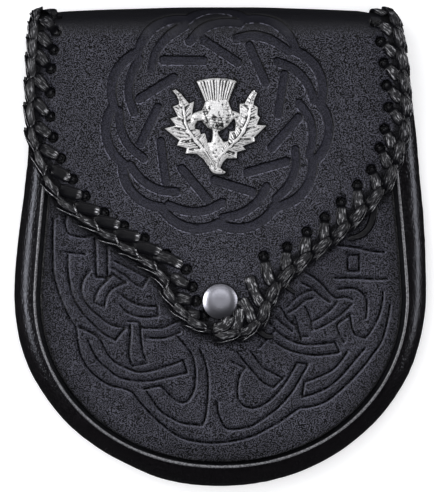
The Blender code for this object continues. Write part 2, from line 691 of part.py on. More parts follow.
def main():
    for item in list(bpy.data.objects):
        bpy.data.objects.remove(item, do_unlink=True)
    make_back_panel()
    make_front_panel()
    make_gusset()
    make_piping()
    make_flap()
    make_edge_lacing()
    make_badge()
    make_snap()


main()
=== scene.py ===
import bmesh
import bpy
import numpy as np
from mathutils.geometry import tessellate_polygon
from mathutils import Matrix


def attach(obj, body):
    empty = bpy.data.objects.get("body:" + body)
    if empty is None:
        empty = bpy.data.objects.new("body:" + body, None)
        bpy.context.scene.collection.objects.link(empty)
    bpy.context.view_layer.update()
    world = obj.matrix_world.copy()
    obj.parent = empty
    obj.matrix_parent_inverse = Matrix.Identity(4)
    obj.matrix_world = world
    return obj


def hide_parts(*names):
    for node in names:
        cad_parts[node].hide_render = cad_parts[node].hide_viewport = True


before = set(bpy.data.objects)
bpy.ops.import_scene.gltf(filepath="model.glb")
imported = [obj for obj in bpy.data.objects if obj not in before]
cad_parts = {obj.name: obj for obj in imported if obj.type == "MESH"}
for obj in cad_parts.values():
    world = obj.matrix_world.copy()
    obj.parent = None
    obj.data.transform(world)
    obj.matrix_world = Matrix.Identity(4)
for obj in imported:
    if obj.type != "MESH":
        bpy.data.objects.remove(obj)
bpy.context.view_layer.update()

mm = 0.001  # every size below is in millimetres until it goes into a mesh, a lamp or a shader


# --- the photograph's frame, the camera and the light

photo = {
    "mmPerPixel": 0.42,
    "middle": (219.5, 247.0),  # column and row of the pixel that lies over the origin
}

view = {
    "frameWidth": 184.8,
    "aim": (0.2, 0.4, 33.0),
    "distance": 5000.0,
    "clipEnd": 20000.0,
    "film": 36.0,
}

studio = {
    "world": (0.97, 0.98, 1.05),
    "worldStrength": 0.02,
    "floor": {
        "Base Color": (0.92, 0.92, 0.92, 1.0),
        "Roughness": 0.9,
        "Emission Color": (1.0, 1.0, 1.0, 1.0),
        "Emission Strength": 0.3,
    },
    "floorSize": 12000.0,
    "floorDrop": 0.2,
    "lampTint": (0.99, 0.99, 1.01),
    "lampTarget": (0.0, 0.0, 20.0),
    "lamps": (
        # name, place, size from side to side and from near to far, watts, whether shiny surfaces mirror it
        ("above", (0.0, 1300.0, 2600.0), (2000.0, 1500.0), 12.0, True),
        ("top", (0.0, 2600.0, 1300.0), (3000.0, 700.0), 5.8, True),
        ("left", (-1650.0, 420.0, 680.0), (1500.0, 560.0), 17.0, True),
        ("right", (1700.0, 420.0, 150.0), (1500.0, 460.0), 10.5, True),
        ("fill", (0.0, -200.0, 2600.0), (3000.0, 3000.0), 81.0, False),
    ),
}


def fromPhoto(points):
    # millimetres = (pixel - middle pixel) * scale, with the rows counted upwards
    flat = np.asarray(points, float) - photo["middle"]
    return flat * (photo["mmPerPixel"], -photo["mmPerPixel"])


def addObject(name, data):
    made = bpy.data.objects.new(name, data)
    bpy.context.scene.collection.objects.link(made)
    return made


def makeCamera():
    data = bpy.data.cameras.new("camera")
    data.sensor_fit = "HORIZONTAL"
    data.sensor_width = view["film"]
    data.lens = view["film"] * view["distance"] / view["frameWidth"]
    data.clip_end = view["clipEnd"] * mm
    camera = addObject("camera", data)
    x, y, z = view["aim"]
    camera.location = (x * mm, y * mm, (z + view["distance"]) * mm)
    bpy.context.scene.camera = camera


def makeStudio():
    # a dim world and five lamps, each tipped and then turned towards the target
    bpy.context.scene.view_settings.view_transform = "Standard"
    world = bpy.data.worlds.new("studio")
    world.use_nodes = True
    background = world.node_tree.nodes["Background"]
    background.inputs["Color"].default_value = (*studio["world"], 1.0)
    background.inputs["Strength"].default_value = studio["worldStrength"]
    bpy.context.scene.world = world
    for name, place, size, watts, mirrored in studio["lamps"]:
        lamp = bpy.data.lights.new(name, "AREA")
        lamp.shape = "RECTANGLE"
        lamp.size, lamp.size_y = size[0] * mm, size[1] * mm
        lamp.energy = watts
        lamp.color = studio["lampTint"]
        holder = addObject(name, lamp)
        holder.location = np.array(place) * mm
        holder.visible_glossy = mirrored
        x, y, z = np.subtract(studio["lampTarget"], place)
        level = np.hypot(x, y)
        holder.rotation_euler = (np.arctan2(level, -z), 0.0, np.arctan2(-x, y) if level > 1 else 0.0)


def makeFloor():
    # a pale sheet just under the pouch; the dark leather mirrors the dim studio and not the floor
    half = studio["floorSize"] / 2 * mm
    corners = [(x * half, y * half, 0.0) for x, y in ((-1, -1), (1, -1), (1, 1), (-1, 1))]
    mesh = bpy.data.meshes.new("floor")
    mesh.from_pydata(corners, [], [(0, 1, 2, 3)])
    mesh.materials.append(newMaterial("paleFloor", studio["floor"], lambda start: {}))
    floor = addObject("floor", mesh)
    floor.location.z = -studio["floorDrop"] * mm
    floor.visible_glossy = False


# --- shader sums and materials


class Wire:
    # one socket of a shader tree on which sums are written; each operator adds a Math node

    def __init__(self, tree, socket=None):
        self.tree = tree
        self.socket = socket

    def node(self, kind, settings=None, values=None, output=0):
        made = self.tree.nodes.new("ShaderNode" + kind)
        for name, value in (settings or {}).items():
            setattr(made, name, value)
        for name, value in (values or {}).items():
            if isinstance(value, Wire):
                self.tree.links.new(value.socket, made.inputs[name])
            else:
                made.inputs[name].default_value = value
        return Wire(self.tree, made.outputs[output])

    def math(self, operation, *values):
        return self.node("Math", {"operation": operation}, dict(enumerate(values)))

    def __add__(self, other):
        return self.math("ADD", self, other)

    def __radd__(self, other):
        return self.math("ADD", other, self)

    def __sub__(self, other):
        return self.math("SUBTRACT", self, other)

    def __rsub__(self, other):
        return self.math("SUBTRACT", other, self)

    def __mul__(self, other):
        return self.math("MULTIPLY", self, other)

    def __abs__(self):
        return self.math("ABSOLUTE", self)

    def step(self, low, high):
        # 0 below low, 1 above high, smooth between them
        span = {"Value": self, "From Min": low, "From Max": high}
        return self.node("MapRange", {"interpolation_type": "SMOOTHSTEP"}, span)

    def shade(self, first, second):
        # the first colour where the value is 0, the second where it is 1
        return self.node("Mix", {"data_type": "RGBA"}, {0: self, 6: (*first, 1.0), 7: (*second, 1.0)}, 2)


def newMaterial(name, fixed, surface):
    # fixed values go on the shader's own sockets; surface returns the varying ones by socket name
    material = bpy.data.materials.new(name)
    material.use_nodes = True
    tree = material.node_tree
    shader = tree.nodes["Principled BSDF"]
    for socket, value in fixed.items():
        shader.inputs[socket].default_value = value
    for socket, wire in surface(Wire(tree)).items():
        tree.links.new(wire.socket, shader.inputs[socket])
    return material


def objectPlace(start):
    return start.node("TexCoord", output="Object")


def attribute(start, name):
    return start.node("Attribute", {"attribute_name": name}, None, "Fac")


def noise(start, place, size, detail=2.0, roughness=0.5):
    values = {"Vector": place, "Scale": 1 / (size * mm), "Detail": detail, "Roughness": roughness}
    return start.node("TexNoise", None, values)


def noiseAlong(start, stretch, scale, roughness, turn=0.0):
    # noise on a strip's own UV map, turned and stretched
    along = start.node("UVMap", {"uv_map": "along"})
    turned = {"Vector": along, "Rotation": (0.0, 0.0, turn), "Scale": (*stretch, 1.0)}
    place = start.node("Mapping", None, turned)
    values = {"Vector": place, "Scale": scale, "Detail": 3.0, "Roughness": roughness}
    return start.node("TexNoise", None, values)


def tint(start, colour, tone):
    # the colour, a wire or three numbers, times the tone
    base = colour if isinstance(colour, Wire) else (*colour, 1.0)
    grey = start.node("CombineColor", None, {0: tone, 1: tone, 2: tone})
    return start.node("Mix", {"data_type": "RGBA", "blend_type": "MULTIPLY"}, {0: 1.0, 6: base, 7: grey}, 2)


def bump(start, height, strength=1.0):
    # the height is in millimetres
    return start.node("Bump", None, {"Height": height, "Distance": mm, "Strength": strength})


def leatherMaterial(name, look):
    # height = pebbles + specks; tone, the share of the colour = patches * specks, so the raised specks are
    # painted lighter than the ground: partly grain tone, partly painted sheen on the grain's tops with
    # painted shade between them; the roughness wavers with the patches; each of the look's layers then
    # changes these four
    def surface(start):
        place = objectPlace(start)
        grain = {"Vector": place, "Scale": 1 / (look["pebble"] * mm), "Smoothness": 0.4}
        pebbles = start.node("TexVoronoi", {"feature": "SMOOTH_F1"}, grain, "Distance")
        patches = noise(start, place, look["patch"], 3.0)
        specks = noise(start, place, look["speck"], 0.0).step(*look["speckRange"])
        mottle = patches * look["mottle"] + (1 - 0.5 * look["mottle"])
        made = {
            "colour": look["colour"],
            "height": (1 - pebbles) * look["pebbleHigh"] + specks * look["speckHigh"],
            "tone": mottle * (specks * look["speckLight"] + look["speckDark"]),
            "rough": patches * look["roughVary"] + (look["rough"] - 0.5 * look["roughVary"]),
        }
        for layer in look.get("layers", ()):
            layer(start, look, made)
        colour = tint(start, made["colour"], made["tone"])
        return {"Base Color": colour, "Roughness": made["rough"], "Normal": bump(start, made["height"])}

    return newMaterial(name, look["fixed"], surface)


def creases(start, look, made):
    # fine creases slant across the strip and catch the light unevenly
    lines = noiseAlong(start, (1.0, 0.3), 1.4, 0.7, look["creaseTurn"])
    made["height"] += lines * look["creaseHigh"]
    made["rough"] += (lines - 0.5) * look["creaseRough"]


def stretchedGrainAndShade(start, look, made):
    # above a height the leather is stretched round the fold, so its grain fades out; its tone there is drawn
    # towards a darker one, painted shade where the fold turns away from the light
    up = start.node("SeparateXYZ", None, {"Vector": objectPlace(start)}, 1)
    stretched = up.step(*(y * mm for y in look["smoothAbove"]))
    made["height"] *= 1 - stretched * look["stretchFlat"]
    made["tone"] += (look["foldShadeTone"] - made["tone"]) * stretched


def pressedBands(start, look, made):
    # pressed is the distance past a band's rim, less than 0 inside it, and side tells on which side of it:
    # the face is calmer and darker; the rim on the side towards the top is painted dark, a painted shadow,
    # and a broken line beside the other side is painted light, a painted highlight
    away, side = attribute(start, "pressed"), attribute(start, "side")
    face = 1 - away.step(*look["face"])
    rim = (1 - abs(away + look["rimInset"]).step(*look["rim"])) * side.step(*look["rimSide"])
    dashes = noise(start, objectPlace(start), look["dash"], 1.0).step(*look["dashRange"])
    lip = (1 - abs(away - look["lipOffset"]).step(*look["lip"])) * (1 - side.step(*look["lipSide"])) * dashes
    keep = 1 - face * look["calm"]
    made["height"] = made["height"] * keep - face * look["faceDeep"] - rim * look["rimDeep"]
    made["tone"] = ((made["tone"] - 1) * keep + 1 + lip * look["lipHighlight"]) * (1 - rim * look["rimShadow"])
    made["colour"] = face.shade(look["colour"], look["faceColour"])


def pits(start, look, made):
    # the walls and floors of the punched holes are dark and sleek: painted shade, standing in for the dark
    # inside a hole
    pit = attribute(start, "pit")
    made["tone"] *= 1 - pit * look["pitShade"]
    made["rough"] -= pit * look["pitSleek"]


def borderShade(start, look, made):
    # painted shade: the panel is darker towards its edge, and darkest right beside the piping, in the
    # crevice
    border = attribute(start, "border")
    for low, high, dark in look["border"]:
        made["tone"] *= border.step(low, high) * dark + (1 - dark)


def grooves(start, look, made):
    # groove is the distance from a pressed line and side tells on which side of it: the line is dark, deep
    # and sleek, with a light lip beside it on one side, a painted highlight, and a soft painted shadow on
    # the other
    away, side = attribute(start, "groove"), attribute(start, "side")
    uneven = noise(start, objectPlace(start), look["wear"]).step(*look["unevenRange"]) * 0.5 + 0.5
    line = (1 - away.step(*look["line"])) * uneven
    ring = away.step(*look["lipInner"]) * (1 - away.step(*look["lipOuter"]))
    lip = ring * (1 - side.step(*look["lipSide"]))
    shadow = (1 - away.step(*look["flank"])) * side.step(*look["flankSide"]) * look["flankDark"]
    made["height"] -= line * look["lineDeep"]
    light = made["tone"] + lip * look["lipHighlight"] * uneven
    made["tone"] = light * (1 - line * look["lineDark"]) * (1 - shadow)
    made["rough"] -= line * look["lineSleek"]


def contactShade(start, look, made):
    # darker and duller close under another piece
    shade = attribute(start, "shade")
    made["tone"] *= 1 - shade * look["shadeDark"]
    made["rough"] += shade * look["shadeRough"]


# the two grains that the leather pieces share; sizes in millimetres, lights and darks as shares; the
# specks' lights and darks are partly grain tone and partly painted sheen and painted shade
plainGrain = {
    "speck": 0.7,
    "speckRange": (0.3, 0.7),
    "speckHigh": 0.05,
    "speckLight": 0.9,
    "speckDark": 0.65,
    "mottle": 0.5,
    "shadeRough": 0.35,
}
embossedGrain = {
    "colour": (0.0138, 0.0138, 0.0180),
    "pebble": 0.66,
    "pebbleHigh": 0.2,
    "speck": 0.46,
    "speckRange": (0.42, 0.60),
    "speckHigh": 0.10,
    "speckLight": 4.0,
    "speckDark": 0.04,
    "patch": 11.0,
    "mottle": 0.5,
    "rough": 0.33,
    "roughVary": 0.12,
    "shadeRough": 0.35,
}


# --- numpy helpers


def softNoise(x, y, size, seed):
    # random heights on a lattice of the given size, blended smoothly between its corners, from -1 to 1
    count = 32
    place = np.stack(np.broadcast_arrays(x, y), -1) / size
    cell = np.floor(place).astype(int)
    share = blendStep(place - cell, 0, 1)
    heights = np.random.default_rng(seed).random((count, count, count))[..., 0] * 2 - 1
    total = np.zeros(place.shape[:-1])
    for corner in np.ndindex(2, 2):
        row, column = np.moveaxis((cell + corner) % count, -1, 0)
        total += np.prod(np.where(corner, share, 1 - share), -1) * heights[row, column]
    return total


def blendStep(value, low, high):
    # 0 below low, 1 above high, 3t^2 - 2t^3 between them
    share = np.clip((value - low) / (high - low), 0, 1)
    return share**2 * (3 - 2 * share)


def bell(value, middle, spread):
    # 1 at the middle, falling as e to the minus square of the distance over the spread
    return np.exp(-(((value - middle) / spread) ** 2))


def unit(vectors):
    return vectors / np.maximum(np.linalg.norm(vectors, axis=-1, keepdims=True), 1e-12)


def runAlong(line):
    # the length travelled at each point of a line
    return np.concatenate([[0], np.cumsum(np.linalg.norm(np.diff(line, axis=0), axis=1))])


def between(at, known, rows):
    # a table's rows at places between the known ones
    return np.stack([np.interp(at, known, column) for column in np.transpose(rows)], -1)


def smoothLine(points, steps):
    # a Catmull-Rom curve through the points, with a number of steps from each point to the next
    points = np.asarray(points, float)
    steps = np.broadcast_to(steps, len(points) - 1)
    padded = np.vstack([2 * points[0] - points[1], points, 2 * points[-1] - points[-2]])
    parts = []
    for i, count in enumerate(steps):
        p0, p1, p2, p3 = padded[i : i + 4]
        t = (np.arange(count) / count)[:, None]
        bend = 2 * p0 - 5 * p1 + 4 * p2 - p3 + t * (3 * (p1 - p2) + p3 - p0)
        parts.append(p1 + 0.5 * t * (p2 - p0 + t * bend))
    return np.vstack([*parts, points[-1:]])


def nearestBand(bands, points, reach):
    # for each point the signed distance to the rim of the nearest band, a line with a half width, at most
    # reach, the place on that rim, and the direction away from the band's middle
    field = np.full(len(points), float(reach))
    onto = points.copy()
    outward = np.zeros_like(points)
    for line, half in bands:
        start, run = line[:-1], np.diff(line, axis=0)
        far = reach + half
        near = np.flatnonzero(((points > line.min(0) - far) & (points < line.max(0) + far)).all(1))
        away = points[near][:, None, :] - start
        share = np.clip((away * run).sum(-1) / (run**2).sum(-1), 0, 1)
        gap = np.linalg.norm(away - share[..., None] * run, axis=-1)
        best = gap.argmin(1)
        pick = np.arange(len(near))
        foot = start[best] + share[pick, best][:, None] * run[best]
        away = unit(points[near] - foot)
        nearer = gap[pick, best] - half < field[near]
        field[near[nearer]] = (gap[pick, best] - half)[nearer]
        onto[near[nearer]] = (foot + half * away)[nearer]
        outward[near[nearer]] = away[nearer]
    return field, onto, outward


def snapTo(flat, bands, reach, limit):
    # moves the grid's points that lie within the limit of a rim onto it, so that the rim stays crisp
    field, onto, outward = nearestBand(bands, flat.reshape(-1, 2), reach)
    close = np.abs(field) < limit
    moved = np.where(close[:, None], onto, flat.reshape(-1, 2))
    field[close] = 0.0
    return moved.reshape(flat.shape), field.reshape(flat.shape[:-1]), outward.reshape(flat.shape)


def shadeUnder(bands, flat, reach):
    # 1 under a band, fading to 0 at the reach from it
    return 1 - blendStep(nearestBand(bands, flat.reshape(-1, 2), reach)[0], 0.0, reach)


def gridFaces(rows, columns, closed=False):
    # quads between neighbouring rows and columns; closed joins the last column to the first
    number = np.arange(rows * columns).reshape(rows, columns)
    if closed:
        number = np.hstack([number, number[:, :1]])
    return np.stack([number[:-1, :-1], number[:-1, 1:], number[1:, 1:], number[1:, :-1]], -1).reshape(-1, 4)


def sheetBody(outer, inner, step):
    # a fine outer grid over a coarser inner one, joined round the rim by polygons; returns points and faces
    rows, columns = outer.shape[:2]
    pickRows = np.unique(np.append(np.arange(0, rows, step), rows - 1))
    pickColumns = np.unique(np.append(np.arange(0, columns, step), columns - 1))
    lining = inner[np.ix_(pickRows, pickColumns)]
    upper = np.arange(rows * columns).reshape(rows, columns)
    lower = rows * columns + np.arange(lining[..., 0].size).reshape(lining.shape[:2])
    faces = gridFaces(rows, columns).tolist()
    faces += (gridFaces(*lower.shape)[:, ::-1] + rows * columns).tolist()
    sides = (
        (upper[0], lower[0], pickColumns),
        (upper[-1], lower[-1], pickColumns),
        (upper[:, 0], lower[:, 0], pickRows),
        (upper[:, -1], lower[:, -1], pickRows),
    )
    for fine, coarse, pick in sides:
        for i in range(len(pick) - 1):
            faces.append([*fine[pick[i] : pick[i + 1] + 1].tolist(), int(coarse[i + 1]), int(coarse[i])])
    return np.concatenate([outer.reshape(-1, 3), lining.reshape(-1, 3)]), faces


def tubeBody(sections):
    # closed sections one after another, with a flat cap at each end; returns points and faces
    count, around = sections.shape[:2]
    faces = gridFaces(count, around, closed=True).tolist()
    faces.append(list(range(around)))
    faces.append(list(range((count - 1) * around, count * around))[::-1])
    return sections.reshape(-1, 3), faces


def turnedBody(profile, sides):
    # a profile of (radius, height) from axis to axis, carried round Z; the poles are welded later
    angle = np.arange(sides) * 2 * np.pi / sides
    radius, height = np.asarray(profile, float).T[..., None]
    ring = np.stack(np.broadcast_arrays(radius * np.cos(angle), radius * np.sin(angle), height), -1)
    return ring.reshape(-1, 3), gridFaces(len(radius), sides, closed=True).tolist()


def joinBodies(bodies):
    # several bodies' points and faces as one
    points, faces, start = [], [], 0
    for some, their in bodies:
        points.append(np.asarray(some).reshape(-1, 3))
        faces += [[n + start for n in face] for face in their]
        start += len(points[-1])
    return np.concatenate(points), faces


def newPiece(name, points, faces, material, stands, values=None, uv=None, *, sharp):
    # welds doubled points, turns the faces outwards, and puts the piece in place of the nodes it stands for
    mesh = bpy.data.meshes.new(name)
    mesh.from_pydata((np.asarray(points) * mm).tolist(), [], faces)
    for key, field in (values or {}).items():
        full = np.zeros(len(points), np.float32)
        full[: field.size] = field.ravel()
        mesh.attributes.new(key, "FLOAT", "POINT").data.foreach_set("value", full)
    if uv is not None:
        corner = np.empty(len(mesh.loops), np.int32)
        mesh.loops.foreach_get("vertex_index", corner)
        layer = mesh.uv_layers.new(name="along")
        layer.data.foreach_set("uv", uv.reshape(-1, 2)[corner].astype(np.float32).ravel())
    work = bmesh.new()
    work.from_mesh(mesh)
    bmesh.ops.remove_doubles(work, verts=work.verts, dist=1e-6)
    bmesh.ops.dissolve_degenerate(work, edges=work.edges, dist=1e-7)
    bmesh.ops.recalc_face_normals(work, faces=work.faces)
    work.to_mesh(mesh)
    work.free()
    mesh.shade_smooth()
    mesh.set_sharp_from_angle(angle=np.radians(sharp))
    mesh.materials.append(material)
    piece = addObject(name, mesh)
    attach(piece, "root")
    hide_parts(*stands)
    print(name, len(mesh.polygons), "faces")
    return piece


# --- the pouch's form, as the frame has it

form = {
    "waist": -20.6,
    "seam": {"half": 77.1, "drop": 70.4, "topHalf": 66.5},
    "body": {"half": 86.3, "drop": 79.9, "topHalf": 78.0},
    "back": {"half": 80.1, "drop": 73.4, "topHalf": 69.5},
    "sideTop": 86.0,
    "sideBow": 1.25,
    "bowlPower": 2.08,
    "mouth": 80.0,
    "seamAtTop": 24.0,
    "seamAtBottom": 34.0,
    "dome": 3.5,
    "gap": 0.3,
    "foldY": 88.0,
    "foldReach": 10.6,
    "foldBow": 2.6,
    "foldLength": 36.0,
    "flapLift": 2.9,
    "frontShift": 0.65,  # the front seam lies a little to the right of the middle
}
wall = {"back": 2.5, "front": 2.2, "gusset": 1.8, "flap": 2.4}


def halfWidth(y, edge):
    # full below the waist, leaning in above it as a power of the height
    lean = np.clip((y - form["waist"]) / (form["sideTop"] - form["waist"]), 0, None)
    return edge["half"] - (edge["half"] - edge["topHalf"]) * lean ** form["sideBow"]


def halfOutline(edge, sideY, bowlSteps, grow=0.0):
    # the right half from the top down: leaning side, then a quarter of a superellipse, widened by grow
    edge = {key: value + grow for key, value in edge.items()}
    upper = np.column_stack([halfWidth(sideY, edge), sideY])
    angle = np.linspace(0, np.pi / 2, bowlSteps + 1)[1:]
    power = 2 / form["bowlPower"]
    cosine = np.append(np.cos(angle[:-1]), 0.0)
    lower = np.column_stack(
        [edge["half"] * cosine**power, form["waist"] - edge["drop"] * np.sin(angle) ** power]
    )
    return np.vstack([upper, lower])


def wholeOutline(right):
    return np.vstack([right * (-1, 1), right[::-1][1:]])


def seamHeight(y):
    # level at the fold, deeper as the square of the way down
    down = np.clip((form["foldY"] - y) / (form["foldY"] - form["waist"] + form["seam"]["drop"]), 0, None)
    return form["seamAtTop"] + (form["seamAtBottom"] - form["seamAtTop"]) * down**2


def frontHeight(x, y):
    # the seam's height plus a low dome
    out = (x / halfWidth(y, form["seam"])) ** 2
    out = out + (np.clip(y - form["waist"], None, 0) / form["seam"]["drop"]) ** 2
    return seamHeight(y) + form["dome"] * (1 - out)


def frontSlope(x, y):
    # how fast the front's face climbs along x and along y
    step = 0.5
    slopeX = (frontHeight(x + step, y) - frontHeight(x - step, y)) / (2 * step)
    slopeY = (frontHeight(x, y + step) - frontHeight(x, y - step)) / (2 * step)
    return slopeX, slopeY


def frontNormal(x, y):
    # the direction straight out of the front's face
    slopeX, slopeY = frontSlope(x, y)
    return unit(np.stack([-slopeX, -slopeY, np.ones_like(slopeX)], -1))


def flapSheet(x, v):
    # inner face and outward normal for places on the flap laid flat: over the front up to the fold, then
    # round half an ellipse, then flat against the back panel
    x, v = np.broadcast_arrays(np.asarray(x, float), np.asarray(v, float))
    rearZ = wall["back"] + form["gap"] + wall["flap"]
    front = np.minimum(v, form["foldY"])
    level = frontHeight(x, front) + form["flapLift"]
    turn = np.clip((v - form["foldY"]) / form["foldLength"], 0, 1) * np.pi
    reach = form["foldReach"] - form["foldBow"] * (x / form["body"]["topHalf"]) ** 2
    halfZ = (level - rearZ) / 2
    tail = np.clip(v - form["foldY"] - form["foldLength"], 0, None)
    z = np.where(v < form["foldY"], level, rearZ + halfZ * (1 + np.cos(turn)))
    point = np.stack([x, front + reach * np.sin(turn) - tail, z], -1)
    slopeX, _ = frontSlope(x, front)
    reachSlope = -2 * form["foldBow"] * x / form["body"]["topHalf"] ** 2
    swing = reachSlope * halfZ * np.sin(turn) ** 2 + slopeX / 2 * reach * (1 + np.cos(turn)) * np.cos(turn)
    roundFold = np.stack([-swing, halfZ * np.sin(turn), reach * np.cos(turn)], -1)
    inFront = frontNormal(x, front)
    return point, unit(np.where((v <= form["foldY"])[..., None], inFront, roundFold))


def standOn(x, y, lift):
    # the place over the front panel's face, and the three directions there: right, up the pouch, outwards
    out = frontNormal(x, y)
    right = unit(np.array([1.0, 0.0, 0.0]) - out[0] * out)
    base = np.array([x, y, frontHeight(x, y)]) + lift * out
    return base, np.stack([right, np.cross(out, right), out])


# --- back panel

backPanel = {
    "edgeRound": 0.9,
    "corner": 8.0,
    "topY": 86.0,
    "slotX": 34.0,
    "slotY": 52.0,
    "slotWide": 6.4,
    "slotTall": 40.0,
    "sideRows": 20,
    "bowlRows": 48,
    "cornerRows": 8,
    "slotSteps": 48,
    "look": {
        **plainGrain,
        "colour": (0.016, 0.016, 0.018),
        "pebble": 0.9,
        "pebbleHigh": 0.05,
        "patch": 14.0,
        "rough": 0.52,
        "roughVary": 0.14,
        "fixed": {"Specular IOR Level": 0.4},
    },
}


def edgeProfile(thick, corner, steps=5):
    # inset and height of a plate's rounded edge, from its top face to its bottom face
    angle = np.linspace(0, np.pi / 2, steps)
    inset, drop = corner * (1 - np.sin(angle)), corner * (1 - np.cos(angle))
    return np.concatenate([np.column_stack([inset, thick - drop]), np.column_stack([inset, drop])[::-1]])


def makeBackPanel(part):
    # the edge profile carried round the outline and round each slot, with flat faces filled between them
    corner = part["corner"]
    sideY = np.linspace(part["topY"] - corner, form["waist"], part["sideRows"])
    right = halfOutline(form["back"], sideY, part["bowlRows"])
    angle = np.linspace(0, np.pi / 2, part["cornerRows"] + 1)[1:]
    arc = right[0] - (corner, 0) + corner * np.column_stack([np.cos(angle), np.sin(angle)])
    loops = [wholeOutline(np.vstack([arc[::-1], right]))[::-1]]
    angle = np.linspace(0, 2 * np.pi, part["slotSteps"], endpoint=False)
    radius = part["slotWide"] / 2
    straight = part["slotTall"] / 2 - radius
    ring = radius * np.column_stack([np.cos(angle), np.sin(angle)])
    ring[:, 1] += np.where(np.sin(angle) >= 0, straight, -straight)
    loops += [ring + (side * part["slotX"], part["slotY"]) for side in (-1, 1)]
    profile = edgeProfile(wall["back"], part["edgeRound"])
    bodies, numbers, start = [], [], 0
    for line in loops:
        along = unit(np.roll(line, -1, 0) - np.roll(line, 1, 0))
        inward = np.column_stack([along[:, 1], -along[:, 0]])
        rows = np.empty((len(profile), len(line), 3))
        rows[..., :2] = line + profile[:, :1, None] * inward
        rows[..., 2] = profile[:, 1:]
        bodies.append((rows, gridFaces(*rows.shape[:2], closed=True).tolist()))
        numbers.append(start + np.arange(rows[..., 0].size).reshape(rows.shape[:2]))
        start += rows[..., 0].size
    points, faces = joinBodies(bodies)
    for row in (0, -1):
        rims = [number[row] for number in numbers]
        flat = tessellate_polygon([[(x, y, 0.0) for x, y, _ in points[rim]] for rim in rims])
        faces += np.concatenate(rims)[np.array(flat)].tolist()
    material = leatherMaterial("backLeather", part["look"])
    return newPiece("backPanel", points, faces, material, ["back_panel"], sharp=50)


# --- front panel with its pressed knotwork

